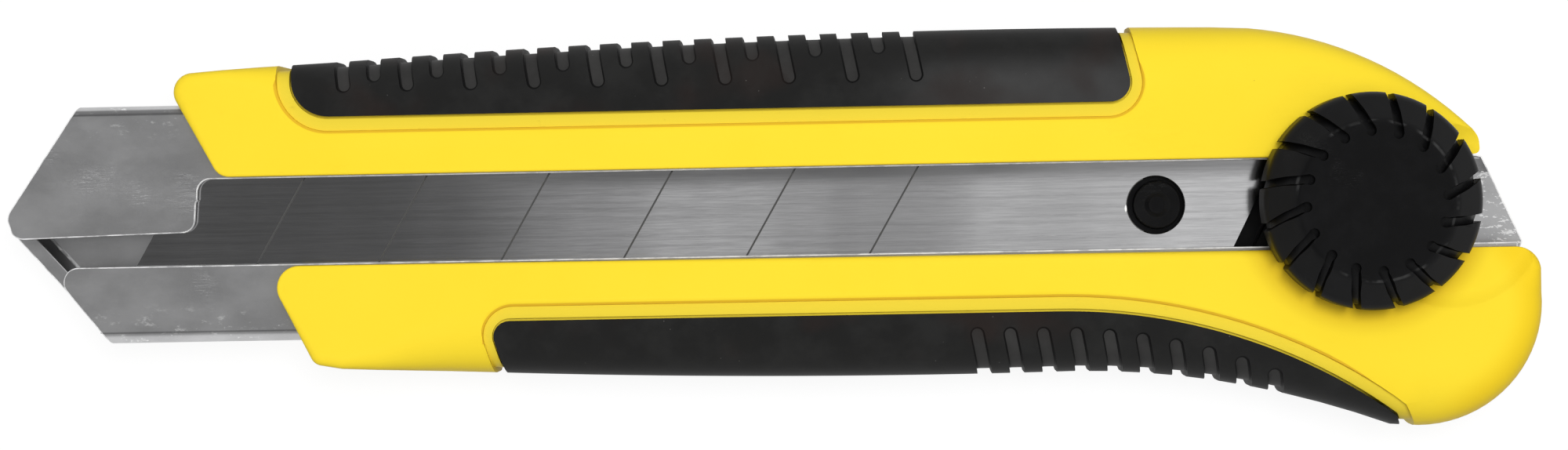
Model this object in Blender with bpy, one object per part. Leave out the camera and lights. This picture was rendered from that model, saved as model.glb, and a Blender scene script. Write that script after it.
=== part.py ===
"""Utility knife with a 25 mm snap-off blade in a steel guide, locked by a screw knob.

The knife lies on its back: +X runs from the nose to the tail, +Y to the spine of the
handle and +Z out of its front face, with z = 0 on the flat back. Metres throughout.
"""
import math

import bmesh
import bpy
from mathutils import Vector

# --- driving sizes -----------------------------------------------------------
CLEAR = 0.0003            # gap between pieces that touch or run on each other
BODY_DEPTH = 0.0150       # handle, back to front face

BLADE_LENGTH = 0.1256     # along the cutting edge
BLADE_WIDTH = 0.0250
BLADE_THICKNESS = 0.0007
BLADE_ANGLE = math.radians(60.0)     # front end and score lines
BLADE_TAIL_ANGLE = math.radians(63.3)
SCORE_PITCH = 0.0140
SCORE_COUNT = 6
BLADE_HOLE_RADIUS = 0.00325

SHEET = 0.0006            # steel of the guide
EDGE_ROOM = 0.00025       # more room on the side of the cutting edge
GUIDE_DEPTH = 0.0048      # back plate to the outside of the lips
GUIDE_BEND = 0.0011       # outside radius of its bends
SLOT_HALF = 0.0049        # from the middle to the edge of either lip
SLOT_SKIN = 0.0017        # plastic over the lips
SLOT_MARGIN = 0.0002      # the plastic stands back from the lip edge by this
TAB_Y = -0.0012           # the nose tab of the upper lip reaches down to here
RIVET_RADIUS = 0.0013
RIVET_HEAD = 0.0021

SPINE_WALL = 0.0070       # guide to the crest of the handle's spine
BELLY_WALL = 0.00555      # guide to the handle's belly
EDGE_ROUND = 0.0055       # rounding of the long outer edges
PALM_ROUND = 0.0065
SPINE_BOW = 1 / 2.44      # rise of the spine per metre squared from its crest
BELLY_BOW = 0.46          # the same of the belly
BELLY_DROP = 5.2          # and of its drop to the palm
FALL_RADIUS = 0.040       # the spine's fall to the tail
DISH_RADIUS = 0.0101      # shallow dish in the front face round the knob's tail side
DISH_DEPTH = 0.0006

GRIP_THICKNESS = 0.0015   # round the edge
GRIP_FACE = 0.0009        # on the front and back faces
GRIP_BORDER = 0.0016      # lowered band of plastic round each grip
GRIP_SWEEP = 0.064        # radius of the lower grip's upper edge along the palm
BORDER_DEPTH = 0.0006
NOTCH_WIDTH = 0.0017
NOTCH_DEPTH = 0.0006
NOTCH_LEAN = math.radians(11.0)
SPINE_NOTCHES = 19
SPINE_NOTCH_PITCH = 0.003583
BELLY_NOTCHES = 10
BELLY_NOTCH_PITCH = 0.00372

KNOB_RADIUS = 0.01214
KNOB_DISC_RADIUS = 0.0090
KNOB_SKIRT = 0.0050
KNOB_FLANK = 0.0024
KNOB_GAP = 0.0004         # skirt above the front face
KNOB_GROOVES = 16
GROOVE_WIDTH = 0.00115
GROOVE_PHASE = math.radians(4.0)
GROOVE_LEAN = math.radians(9.0)
GROOVE_DEPTH = 0.0008
BOLT_RADIUS = 0.0025      # M5
BOLT_HEAD_HALF = 0.0042   # the head is square and sits in the carrier
BOLT_HEAD_HEIGHT = 0.0015
PLATE_THICKNESS = 0.0010  # clamp plate
WASHER_THICKNESS = 0.0005
NUT_FLATS = 0.0080
NUT_HEIGHT = 0.0034

CARRIER_HALF = 0.0080
TONGUE_HALF = 0.0065      # the carrier's tongue under the blade
SPRING_LENGTH = 0.0130
SPRING_WIDTH = 0.0060
SPRING_BOW = 0.0006
SPRING_SHEET = 0.0003

COVER_THICKNESS = 0.0018
COVER_HALF = 0.0090
WEB = 0.0017              # plastic under the guide
RIB = 0.0012
SCREW_RADIUS = 0.00125
SCREW_HEAD = 0.0024
SCREW_SEAT = 0.0012       # depth of the counterbore in the cover
PAST = 0.001              # a cutter reaches past the solid by this

# --- levels, from the front face down ------------------------------------------
LIP_TOP = BODY_DEPTH - SLOT_SKIN - CLEAR
LIP_BOTTOM = LIP_TOP - SHEET
PLATE_BOTTOM = LIP_TOP - GUIDE_DEPTH
PLATE_TOP = PLATE_BOTTOM + SHEET
POCKET_BOTTOM = PLATE_BOTTOM - CLEAR
POCKET_TOP = LIP_TOP + CLEAR
WEB_BOTTOM = POCKET_BOTTOM - WEB
BLADE_TOP = LIP_BOTTOM - 0.0004
BLADE_BOTTOM = BLADE_TOP - BLADE_THICKNESS
TONGUE_TOP = BLADE_BOTTOM - CLEAR
CARRIER_BOTTOM = PLATE_TOP + CLEAR
CARRIER_TOP = LIP_BOTTOM - CLEAR
COVER_SEAT = COVER_THICKNESS + CLEAR
BOLT_HEAD_BOTTOM = CARRIER_BOTTOM + 0.0001
BOLT_HEAD_TOP = BOLT_HEAD_BOTTOM + BOLT_HEAD_HEIGHT
PLATE_SEAT = BODY_DEPTH + CLEAR
KNOB_BOTTOM = BODY_DEPTH + KNOB_GAP
KNOB_SKIRT_TOP = KNOB_BOTTOM + KNOB_SKIRT
KNOB_TOP = KNOB_SKIRT_TOP + KNOB_FLANK
KNOB_CEILING = PLATE_SEAT + PLATE_THICKNESS + WASHER_THICKNESS + 2 * CLEAR
NUT_BOTTOM = KNOB_CEILING + CLEAR
NUT_TOP = NUT_BOTTOM + NUT_HEIGHT

# --- widths ------------------------------------------------------------------------
GUIDE_HALF = BLADE_WIDTH / 2 + CLEAR + SHEET
GUIDE_LOW = -(GUIDE_HALF + EDGE_ROOM)
POCKET_HIGH = GUIDE_HALF + CLEAR
POCKET_LOW = GUIDE_LOW - CLEAR
SHELL_SLOT = SLOT_HALF + SLOT_MARGIN
HUB_HALF = SLOT_HALF - CLEAR - 0.0001
GRIP_LINE = GUIDE_HALF - 0.0016      # straight edge of the lower grip, from the middle
NOSE_SPREAD = GUIDE_HALF + 0.002     # the nose is cut from stock that is this wide

# --- stations along X: the nose end and the knob end --------------------------------
NOSE_X = -0.0873
NOSE_TOP_X = NOSE_X + 0.0081
TAB_END_X = NOSE_X + 0.0218
CHIN_X = NOSE_X + 0.0113             # where the chin meets the bottom of the guide
CHIN_START = Vector((NOSE_X + 0.0015, -0.0029))
CHIN_END = Vector((CHIN_X - 0.0018, GUIDE_LOW + 0.0020))
BLADE_TIP_X = NOSE_X + 0.0099
KNOB_X = BLADE_TIP_X + BLADE_LENGTH + 0.01847
BLADE_HOLE_X = KNOB_X - 0.02337
PIN_X = BLADE_HOLE_X + 0.0002
SPRING_X = PIN_X + 0.0108
RIVET_XS = (NOSE_X + 0.0480, KNOB_X - 0.0330)
TAIL_SLOT_HIGH = KNOB_X + 0.0133     # handle ends here above the slot
TAIL_SLOT_LOW = KNOB_X + 0.0182      # the guide ends here below it
FALL_X = KNOB_X - 0.0167             # the spine begins its fall to the tail here
PALM_X = KNOB_X - 0.0327             # the belly starts to drop to the palm here
BELLY_LOW_X = PALM_X - 0.017         # the belly is lowest here, in its long arc
SWEEP_X = PALM_X - 0.002             # the lower grip's edge leaves the straight here
DISH_CENTRE = (KNOB_X + 0.0096, -0.0019)
PALM_RADIUS = 0.0137
PALM_CENTRE = (KNOB_X + 0.0062, -(GUIDE_HALF - 0.00140))

ARC_STEP = math.radians(15.0)
ARC_CHORD = 0.0060
EDGE_STEP = 0.0140
ROUND_STEPS = 3

YELLOW = (1.0, 0.76, 0.03)
BLACK = (0.022, 0.022, 0.022)
STEEL = (0.50, 0.50, 0.51)
BLADE_STEEL = (0.62, 0.62, 0.63)
BRASS = (0.60, 0.43, 0.18)


# --- outlines ----------------------------------------------------------------------
def spine_y(x):
    """Upper edge of the handle: one long shallow arc."""
    crest = (NOSE_X + KNOB_X) / 2 + 0.0353
    return GUIDE_HALF + SPINE_WALL - SPINE_BOW * (x - crest) ** 2


def belly_y(x):
    """Lower edge: a shallow arc, then the drop to the palm."""
    low = -(GUIDE_HALF + BELLY_WALL)
    if x < PALM_X:
        return low + BELLY_BOW * (x - BELLY_LOW_X) ** 2
    return low + BELLY_BOW * (PALM_X - BELLY_LOW_X) ** 2 - BELLY_DROP * (x - PALM_X) ** 2


def stations(start, end, step=EDGE_STEP):
    count = max(1, math.ceil(abs(end - start) / step))
    return [start + (end - start) * i / count for i in range(count + 1)]


def arc(centre, radius, start, end):
    """Points on an arc, angles in degrees."""
    turn = abs(math.radians(end - start))
    count = max(2, math.ceil(turn / ARC_STEP), math.ceil(turn * radius / ARC_CHORD))
    angles = [math.radians(start + (end - start) * i / count) for i in range(count + 1)]
    return [(centre[0] + radius * math.cos(a), centre[1] + radius * math.sin(a)) for a in angles]


def rounded(corners):
    """Outline points (x, y, edge rounding) from corners (x, y, plan radius, edge rounding)."""
    points = []
    for i, (x, y, radius, edge) in enumerate(corners):
        before = Vector(corners[i - 1][:2])
        after = Vector(corners[(i + 1) % len(corners)][:2])
        here = Vector((x, y))
        incoming, outgoing = (here - before), (after - here)
        turn = incoming.angle_signed(outgoing)
        if radius == 0 or abs(turn) < 0.01:
            points.append((x, y, edge))
            continue
        reach = min(incoming.length, outgoing.length) * 0.49
        run = min(radius * math.tan(abs(turn) / 2), reach)
        first = here - incoming.normalized() * run
        last = here + outgoing.normalized() * run
        count = max(2, math.ceil(abs(turn) / ARC_STEP))
        for k in range(count + 1):
            t = k / count
            # a rational quadratic with this weight is a true circular arc
            weight = math.cos(turn / 2)
            a, b, c = (1 - t) ** 2, 2 * t * (1 - t) * weight, t ** 2
            point = (first * a + here * b + last * c) / (a + b + c)
            points.append((point.x, point.y, edge))
    return points


def plain(points):
    return [(x, y) for x, y, *_ in points]


def spine_outline():
    """The bar above the slot, counter-clockwise."""
    front, tail = NOSE_X + 0.02450, TAIL_SLOT_HIGH
    slant = (spine_y(front) - SHELL_SLOT) / math.tan(math.radians(61.7))
    sweep = arc((FALL_X, spine_y(FALL_X) - FALL_RADIUS), FALL_RADIUS, 44, 84)
    edges = [0.0013 + 0.0036 * i / (len(sweep) - 1) for i in range(len(sweep))]
    top = stations(FALL_X, NOSE_X + 0.0290)
    return rounded([(front, SHELL_SLOT, 0.0020, 0.0003),
                    (tail, SHELL_SLOT, 0.0006, 0.0003),
                    (tail + 0.0001, SHELL_SLOT + 0.0018, 0.0012, 0.0007),
                    *[(x, y, 0.0, edge) for (x, y), edge in zip(sweep, edges)],
                    *[(x, spine_y(x), 0.0, EDGE_ROUND) for x in top],
                    (front - slant, spine_y(front - slant), 0.0024, 0.0011)])


def belly_outline():
    """The bar below the slot, with the palm swell at the tail, counter-clockwise."""
    front = NOSE_X + 0.02935
    slant = (belly_y(front) + SHELL_SLOT) / math.tan(math.radians(116.0))
    bottom = stations(NOSE_X + 0.0430, KNOB_X + 0.0030, 0.010)
    palm = arc(PALM_CENTRE, PALM_RADIUS, -90, 6)
    edges = [PALM_ROUND * (1 - 0.6 * i / len(palm)) for i in range(len(palm))]
    return rounded([(PALM_CENTRE[0] + PALM_RADIUS, -SHELL_SLOT, 0.0034, 0.0010),
                    (front, -SHELL_SLOT, 0.0025, 0.0003),
                    (front + slant, belly_y(front), 0.0015, 0.0010),
                    *[(x, belly_y(x), 0.0, EDGE_ROUND) for x in bottom],
                    *[(x, y, 0.0, edge) for (x, y), edge in zip(palm, edges)]])


def spine_grip_outline(grow=0.0):
    """Plan of the upper grip, open past the spine; grow widens it all round."""
    left, right = NOSE_X + 0.0332 - grow, KNOB_X - 0.0257 + grow
    low = GUIDE_HALF - 0.00165 - grow
    high = spine_y(0) + 0.004
    return rounded([(left, low, 0.0042 + grow, 0), (right, low, 0.0022 + grow, 0),
                    (right - 0.0026, high, 0, 0), (left - 0.0010, high, 0, 0)])


def belly_grip_outline(grow=0.0):
    """Plan of the lower grip: a straight edge, then an arc that runs out at the palm."""
    left = NOSE_X + 0.0548 - grow
    edge = -GRIP_LINE + grow
    low = belly_y(KNOB_X) - 0.006
    sweep = arc((SWEEP_X, edge - GRIP_SWEEP - grow), GRIP_SWEEP + grow, 90, 54.5)
    end = (KNOB_X + 0.0056 + grow, low)
    corners = [(left + 0.0050, low, 0, 0), (*end, 0, 0), (*sweep[-1], 0.0006, 0)]
    corners += [(x, y, 0, 0) for x, y in reversed(sweep[:-1])]
    return rounded(corners + [(left, edge, 0.0018 + grow, 0)])


def belly_grip_edge(x):
    """Y of the lower grip's upper edge at x."""
    past = max(0.0, x - SWEEP_X)
    return -GRIP_LINE - GRIP_SWEEP + math.sqrt(GRIP_SWEEP ** 2 - past ** 2)


# --- solids ---------------------------------------------------------------------------
def new_object(name, bm, look=None):
    bmesh.ops.recalc_face_normals(bm, faces=bm.faces)
    mesh = bpy.data.meshes.new(name)
    bm.to_mesh(mesh)
    bm.free()
    obj = bpy.data.objects.new(name, mesh)
    bpy.context.collection.objects.link(obj)
    if look:
        mesh.materials.append(look)
    return obj


def skin(bm, loops, closed=False):
    """Join equal loops of vertices with quads, and cap the ends unless it is closed."""
    pairs = list(zip(loops, loops[1:] + loops[:1])) if closed else list(zip(loops, loops[1:]))
    for low, high in pairs:
        for i in range(len(low)):
            j = (i + 1) % len(low)
            bm.faces.new((low[i], low[j], high[j], high[i]))
    if not closed:
        bm.faces.new(list(reversed(loops[0])))
        bm.faces.new(loops[-1])


def prism(name, outline, low, high, look=None):
    bm = bmesh.new()
    skin(bm, [[bm.verts.new((x, y, z)) for x, y in plain(outline)] for z in (low, high)])
    return new_object(name, bm, look)


def box(name, low, high, look=None):
    (x0, y0, z0), (x1, y1, z1) = low, high
    return prism(name, [(x0, y0), (x1, y0), (x1, y1), (x0, y1)], z0, z1, look)


def side_prism(name, profile, start, end, look=None):
    """A (y, z) profile carried along X."""
    bm = bmesh.new()
    skin(bm, [[bm.verts.new((x, y, z)) for y, z in profile] for x in (start, end)])
    return new_object(name, bm, look)


def inward(outline):
    """Unit inward normal at each point of a counter-clockwise outline."""
    flat = [Vector(p[:2]) for p in outline]
    normals = []
    for i, here in enumerate(flat):
        along = (here - flat[i - 1]).normalized() + (flat[(i + 1) % len(flat)] - here).normalized()
        normals.append(Vector((-along.y, along.x)).normalized())
    return normals


def slab(name, outline, inset=0.0, face_inset=0.0, look=None, normals=None):
    """A plate with rounded edges: the handle's own shape, or a core inside it."""
    low, high = face_inset, BODY_DEPTH - face_inset
    normals = normals or inward(outline)
    bm = bmesh.new()
    loops = []
    for side in (-1, 1):
        for k in range(ROUND_STEPS + 1):
            angle = math.pi / 2 * (k if side == 1 else ROUND_STEPS - k) / ROUND_STEPS
            loop = []
            for (x, y, edge), normal in zip(outline, normals):
                edge = max(edge - inset, 0.0002)
                back = inset + edge * (1 - math.cos(angle))
                drop = edge * (1 - math.sin(angle))
                z = high - drop if side == 1 else low + drop
                loop.append(bm.verts.new((x + normal.x * back, y + normal.y * back, z)))
            loops.append(loop)
    skin(bm, loops)
    return new_object(name, bm, look)


def turned(name, profile, look=None, steps=32, centre=(0.0, 0.0)):
    """A closed (radius, z) profile turned about a vertical axis."""
    bm = bmesh.new()
    loops = []
    for k in range(steps):
        angle = 2 * math.pi * k / steps
        loops.append([bm.verts.new((centre[0] + r * math.cos(angle),
                                    centre[1] + r * math.sin(angle), z)) for r, z in profile])
    skin(bm, loops, closed=True)
    bmesh.ops.remove_doubles(bm, verts=bm.verts, dist=1e-7)
    for edge in [e for e in bm.edges if not e.link_faces]:
        bm.edges.remove(edge)
    return new_object(name, bm, look)


def cylinder(name, centre, radius, low, high, look=None, steps=24):
    ring = [(centre[0] + radius * math.cos(2 * math.pi * k / steps),
             centre[1] + radius * math.sin(2 * math.pi * k / steps)) for k in range(steps)]
    return prism(name, ring, low, high, look)


def cone(name, centre, low_radius, high_radius, low, high, look=None, steps=24):
    bm = bmesh.new()
    loops = []
    for radius, z in ((low_radius, low), (high_radius, high)):
        loops.append([bm.verts.new((centre[0] + radius * math.cos(2 * math.pi * k / steps),
                                    centre[1] + radius * math.sin(2 * math.pi * k / steps), z))
                      for k in range(steps)])
    skin(bm, loops)
    return new_object(name, bm, look)


def boolean(target, tool, operation):
    """Apply one Boolean and remove the tool."""
    modifier = target.modifiers.new("boolean", "BOOLEAN")
    modifier.object = tool
    modifier.operation = operation
    modifier.solver = "EXACT"
    with bpy.context.temp_override(object=target, active_object=target):
        bpy.ops.object.modifier_apply(modifier=modifier.name)
    mesh = tool.data
    bpy.data.objects.remove(tool)
    bpy.data.meshes.remove(mesh)
    return target


def cut(target, *tools):
    for tool in tools:
        boolean(target, tool, "DIFFERENCE")
    return target


def add(target, *tools):
    for tool in tools:
        boolean(target, tool, "UNION")
    return target


def keep(target, tool):
    return boolean(target, tool, "INTERSECT")


def combine(name, pieces):
    """Several separate tools as one object, for a single cut."""
    bm = bmesh.new()
    for piece in pieces:
        bm.from_mesh(piece.data)
        mesh = piece.data
        bpy.data.objects.remove(piece)
        bpy.data.meshes.remove(mesh)
    return new_object(name, bm)


def finish(obj, origin=(0.0, 0.0, 0.0), parent=None):
    """Put the object's origin where it belongs, hang it on its parent and shade it."""
    shift = Vector(origin)
    for vertex in obj.data.vertices:
        vertex.co -= shift
    obj.location = shift - (parent.location if parent else Vector())
    obj.parent = parent
    obj.data.shade_smooth()
    obj.data.set_sharp_from_angle(angle=math.radians(35))
    return obj


def axis_empty(name, location):
    empty = bpy.data.objects.new(name, None)
    empty.location = location
    bpy.context.collection.objects.link(empty)
    return empty


def look(name, colour, roughness, metallic=0.0):
    result = bpy.data.materials.new(name)
    result.use_nodes = True
    shader = result.node_tree.nodes["Principled BSDF"]
    shader.inputs["Base Color"].default_value = (*colour, 1.0)
    shader.inputs["Roughness"].default_value = roughness
    shader.inputs["Metallic"].default_value = metallic
    return result


# --- steel guide --------------------------------------------------------------------
def channel_profile():
    """The C section of the guide, one sheet with four bends, as (y, z) points."""
    r, s = GUIDE_BEND, SHEET
    bends = [(GUIDE_LOW + r, PLATE_BOTTOM + r, 180), (GUIDE_HALF - r, PLATE_BOTTOM + r, 270),
             (GUIDE_HALF - r, LIP_TOP - r, 0), (GUIDE_LOW + r, LIP_TOP - r, 90)]
    outside = [arc((y, z), r, turn, turn + 90) for y, z, turn in bends]
    inside = [arc((y, z), r - s, turn + 90, turn) for y, z, turn in bends]
    upper = [(TAB_Y, LIP_TOP), (TAB_Y, LIP_BOTTOM)]
    lower = [(-SLOT_HALF, LIP_BOTTOM), (-SLOT_HALF, LIP_TOP)]
    return [*outside[0], *outside[1], *outside[2], *upper, *inside[2], *inside[1], *inside[0],
            *inside[3], *lower, *outside[3][:-1]]


def nose_keep():
    """Plan of all that is kept of the guide: nose, straight sides and trimmed tail."""
    slant = NOSE_SPREAD - GUIDE_HALF
    return rounded([(NOSE_TOP_X + slant / math.tan(math.radians(57.4)), NOSE_SPREAD, 0, 0),
                    (NOSE_X - 0.0004, 0.0010, 0.0016, 0),
                    (NOSE_X - 0.0001, -0.0012, 0.0009, 0),
                    (CHIN_X, GUIDE_LOW, 0, 0),
                    (CHIN_X + 0.002, -NOSE_SPREAD, 0, 0),
                    (TAIL_SLOT_LOW - 0.0042, -NOSE_SPREAD, 0, 0),
                    (TAIL_SLOT_LOW, -SLOT_HALF, 0, 0),
                    (TAIL_SLOT_HIGH + 0.0012, SLOT_HALF, 0, 0),
                    (TAIL_SLOT_HIGH - 0.0010, SLOT_HALF + 0.0004, 0, 0),
                    (KNOB_X - 0.0022, GUIDE_HALF, 0, 0),
                    (KNOB_X - 0.0040, NOSE_SPREAD, 0, 0)])


def lip_cutters():
    """What is taken off the two lips only, above the blade's back."""
    low, high = PLATE_TOP + 0.0010, LIP_TOP + PAST
    end = KNOB_X + 0.05
    slot = rounded([(TAB_END_X, -0.004, 0, 0), (end, -0.004, 0, 0), (end, SLOT_HALF, 0, 0),
                    (TAB_END_X + 0.0002, SLOT_HALF, 0.0012, 0)])
    chin = rounded([(NOSE_X - 0.01, -0.0021, 0, 0), (NOSE_X - 0.01, -NOSE_SPREAD - 0.01, 0, 0),
                    (CHIN_X + 0.0009, -NOSE_SPREAD, 0, 0), (CHIN_X + 0.0009, GUIDE_LOW, 0, 0),
                    (NOSE_X + 0.0047, -SLOT_HALF, 0.0018, 0), (NOSE_X + 0.0120, -SLOT_HALF, 0, 0),
                    (NOSE_X + 0.0120, -0.0021, 0, 0)])
    return prism("slot", slot, low, high), prism("chin", chin, low, high)


def along_chin(name, profile):
    """A (distance in from the chin, z) profile carried along it."""
    along = (CHIN_END - CHIN_START).normalized()
    across = Vector((-along.y, along.x))
    bm = bmesh.new()
    loops = []
    for point in (CHIN_START, CHIN_END):
        loops.append([bm.verts.new((*(point + across * d), z)) for d, z in profile])
    skin(bm, loops)
    return new_object(name, bm)


def chin_support():
    """The raised strip along the chin that carries the blade: a joggle in the back plate."""
    low, high = PLATE_BOTTOM, TONGUE_TOP - SHEET
    return along_chin("support", [(0.0, high), (0.0022, high), (0.0034, low), (0.0046, low),
                                  (0.0046, low + SHEET), (0.0038, low + SHEET),
                                  (0.0026, high + SHEET), (0.0, high + SHEET)])


def chin_gap():
    """The part of the back plate that the raised strip replaces."""
    low, high = PLATE_BOTTOM - PAST, PLATE_TOP + 0.0005
    return along_chin("gap", [(-0.004, low), (0.0036, low), (0.0036, high), (-0.004, high)])


def make_guide(steel):
    guide = side_prism("blade_guide", channel_profile(), NOSE_X - 0.003, KNOB_X + 0.03, steel)
    keep(guide, prism("keep", nose_keep(), PLATE_BOTTOM - PAST, LIP_TOP + PAST))
    cut(guide, *lip_cutters())
    cut(guide, chin_gap())
    add(guide, chin_support())
    for x in RIVET_XS:
        low, high = PLATE_BOTTOM - 0.0002, PLATE_TOP + 0.0002
        cut(guide, cone("hole", (x, 0), RIVET_RADIUS + CLEAR, RIVET_HEAD + 2 * CLEAR, low, high))
    return finish(guide)


def make_rivet(name, x, steel):
    """Countersunk in the back plate, set over under the web of the handle."""
    top, tail = PLATE_TOP - 0.00005, WEB_BOTTOM - CLEAR
    profile = [(0, tail - 0.0007), (RIVET_HEAD, tail - 0.0007), (RIVET_HEAD, tail),
               (RIVET_RADIUS, tail), (RIVET_RADIUS, PLATE_BOTTOM), (RIVET_HEAD, top), (0, top)]
    return finish(turned(name, profile, steel, 20, (x, 0.0)))


# --- handle ---------------------------------------------------------------------------
def pocket_outline():
    """Plan of the room for the guide inside the handle."""
    far = NOSE_X - 0.01
    return [(far, POCKET_LOW), (TAIL_SLOT_LOW - 0.0025, POCKET_LOW),
            (TAIL_SLOT_LOW + 0.0012, -SLOT_HALF - CLEAR), (TAIL_SLOT_LOW + 0.01, -SHELL_SLOT),
            (TAIL_SLOT_LOW + 0.01, SHELL_SLOT), (TAIL_SLOT_HIGH - 0.0004, SHELL_SLOT + CLEAR),
            (KNOB_X - 0.0014, POCKET_HIGH), (far, POCKET_HIGH)]


def cover_outline(grow=0.0):
    """Plan of the back cover, with a lobe that reaches into the palm swell."""
    h = COVER_HALF
    corners = [(NOSE_X + 0.0400, h, 0.0030), (NOSE_X + 0.0400, -h, 0.0030),
               (PALM_X + 0.0080, -h, 0.010), (KNOB_X + 0.0035, -h - 0.0080, 0.0030),
               (KNOB_X + 0.0125, -h - 0.0075, 0.0040), (KNOB_X + 0.0140, -0.0040, 0.0040),
               (KNOB_X + 0.0055, h, 0.0050)]
    outline = rounded([(x, y, r, 0) for x, y, r in corners])
    normals = inward(outline)
    return [(x - n.x * grow, y - n.y * grow) for (x, y, _), n in zip(outline, normals)]


def screw_places():
    y = COVER_HALF - 0.0040
    rows = [(NOSE_X + 0.0450, y), (NOSE_X + 0.0450, -y), (KNOB_X - 0.0530, y),
            (KNOB_X - 0.0530, -y), (KNOB_X + 0.0010, y), (KNOB_X + 0.0068, -COVER_HALF - 0.0022)]
    return rows


def cell_walls():
    """X of the ribs across the hollow back."""
    first, last = NOSE_X + 0.0560, KNOB_X - 0.0080
    return stations(first, last, 0.020)


def make_hollow():
    """The hollow under the web, less its ribs and screw bosses."""
    hollow = prism("hollow", cover_outline(-0.0014), COVER_SEAT - 0.0005, WEB_BOTTOM)
    low, high = COVER_SEAT - PAST, WEB_BOTTOM + PAST
    far = BLADE_WIDTH
    for x in cell_walls():
        cut(hollow, box("rib", (x - RIB / 2, -far, low), (x + RIB / 2, far, high)))
    for place in screw_places():
        cut(hollow, cylinder("boss", place, SCREW_RADIUS + 0.0018, low, high, steps=16))
    return hollow


def core(bar_outline, inset, face_inset):
    """What is left inside a bar under a skin of the given thickness, along its grip."""
    start, end = NOSE_X + 0.0265, KNOB_X + 0.0125
    points = list(zip(bar_outline, inward(bar_outline)))
    run = [(p, n) for p, n in points if start < p[0] < end and abs(p[1]) > GUIDE_HALF]
    outline, normals = [p for p, n in run], [n for p, n in run]
    middle = math.copysign(SHELL_SLOT, outline[0][1])
    closing = [(outline[-1][0], middle, 0.0003), (outline[0][0], middle, 0.0003)]
    still = Vector((0.0, 0.0))
    return slab("core", outline + closing, inset, face_inset, normals=normals + [still, still])


def grip_recess(bar_outline, grip_outline):
    """Cuts a grip's pocket and its lowered border into one bar of the handle."""
    low, high = -PAST, BODY_DEPTH + PAST
    border = prism("border", grip_outline(GRIP_BORDER), low, high)
    cut(border, core(bar_outline, BORDER_DEPTH, BORDER_DEPTH))
    pocket = prism("pocket", grip_outline(CLEAR), low, high)
    cut(pocket, core(bar_outline, GRIP_THICKNESS + CLEAR, GRIP_FACE + CLEAR))
    return border, pocket


def make_bar(name, bar_outline, grip_outline, plastic):
    bar = slab(name, bar_outline, look=plastic)
    cut(bar, *grip_recess(bar_outline, grip_outline))
    return bar


def make_handle(plastic):
    handle = make_bar("handle_body", spine_outline(), spine_grip_outline, plastic)
    add(handle, make_bar("belly", belly_outline(), belly_grip_outline, plastic))
    web = [(NOSE_X + 0.0256, SHELL_SLOT + 0.0015), (NOSE_X + 0.0318, -SHELL_SLOT - 0.0015),
           (TAIL_SLOT_LOW - 0.0002, -SHELL_SLOT - 0.0015),
           (TAIL_SLOT_HIGH - 0.0002, SHELL_SLOT + 0.0015)]
    add(handle, prism("web", web, 0.0, POCKET_BOTTOM))
    cut(handle, prism("pocket", pocket_outline(), POCKET_BOTTOM, POCKET_TOP))
    cut(handle, prism("rebate", cover_outline(CLEAR), -PAST, COVER_SEAT))
    cut(handle, make_hollow())
    bores = [cylinder("bore", place, SCREW_RADIUS + CLEAR, COVER_SEAT - 0.0005,
                      WEB_BOTTOM + 0.0004, steps=12) for place in screw_places()]
    bores += [cylinder("bore", (x, 0), RIVET_RADIUS + CLEAR, WEB_BOTTOM - 0.0005,
                       POCKET_BOTTOM + 0.0005, steps=16) for x in RIVET_XS]
    cut(handle, combine("bores", bores))
    cut(handle, cylinder("dish", DISH_CENTRE, DISH_RADIUS, BODY_DEPTH - DISH_DEPTH,
                         BODY_DEPTH + PAST, steps=48))
    return finish(handle)


def make_cover(plastic):
    cover = prism("back_cover", cover_outline(), 0.0, COVER_THICKNESS, plastic)
    holes = []
    for place in screw_places():
        head, shank = SCREW_HEAD + CLEAR, SCREW_RADIUS + CLEAR
        profile = [(0, -PAST), (head, -PAST), (head, SCREW_SEAT), (shank, SCREW_SEAT),
                   (shank, 0.003), (0, 0.003)]
        holes.append(turned("hole", profile, steps=16, centre=place))
    return finish(cut(cover, combine("holes", holes)))


def make_screw(name, place, steel):
    """Pan head with a cross slot, in the counterbore of the cover."""
    seat, tip = SCREW_SEAT - CLEAR, WEB_BOTTOM - CLEAR
    profile = [(0, 0.0002), (SCREW_HEAD - 0.0004, 0.0002), (SCREW_HEAD, 0.0006),
               (SCREW_HEAD, seat), (SCREW_RADIUS, seat), (SCREW_RADIUS, tip - 0.0006),
               (0.0004, tip), (0, tip)]
    screw = turned(name, profile, steel, 16, place)
    x, y = place
    for long, wide in ((0.0013, 0.0003), (0.0003, 0.0013)):
        cut(screw, box("cross", (x - long, y - wide, -PAST), (x + long, y + wide, 0.0007)))
    return finish(screw)


def stadium(start, end, width):
    """Outline of a slot with round ends."""
    a, b = Vector(start), Vector(end)
    heading = math.degrees(math.atan2(b.y - a.y, b.x - a.x))
    return (arc(a, width / 2, heading + 90, heading + 270)
            + arc(b, width / 2, heading - 90, heading + 90))


def spine_notches():
    """Long and short notches by turns, over the front two thirds of the upper grip."""
    places = []
    for k in range(SPINE_NOTCHES):
        x = NOSE_X + 0.0382 + SPINE_NOTCH_PITCH * k
        long = GUIDE_HALF + 0.0018
        short = GUIDE_HALF + 0.0028 + 0.00013 * k
        end_y = long if k % 2 == 0 else short
        top_y = spine_y(x) + 0.003
        places.append(((x - (top_y - spine_y(x)) * math.tan(NOTCH_LEAN), top_y),
                       (x + (spine_y(x) - end_y) * math.tan(NOTCH_LEAN), end_y)))
    return places


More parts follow.
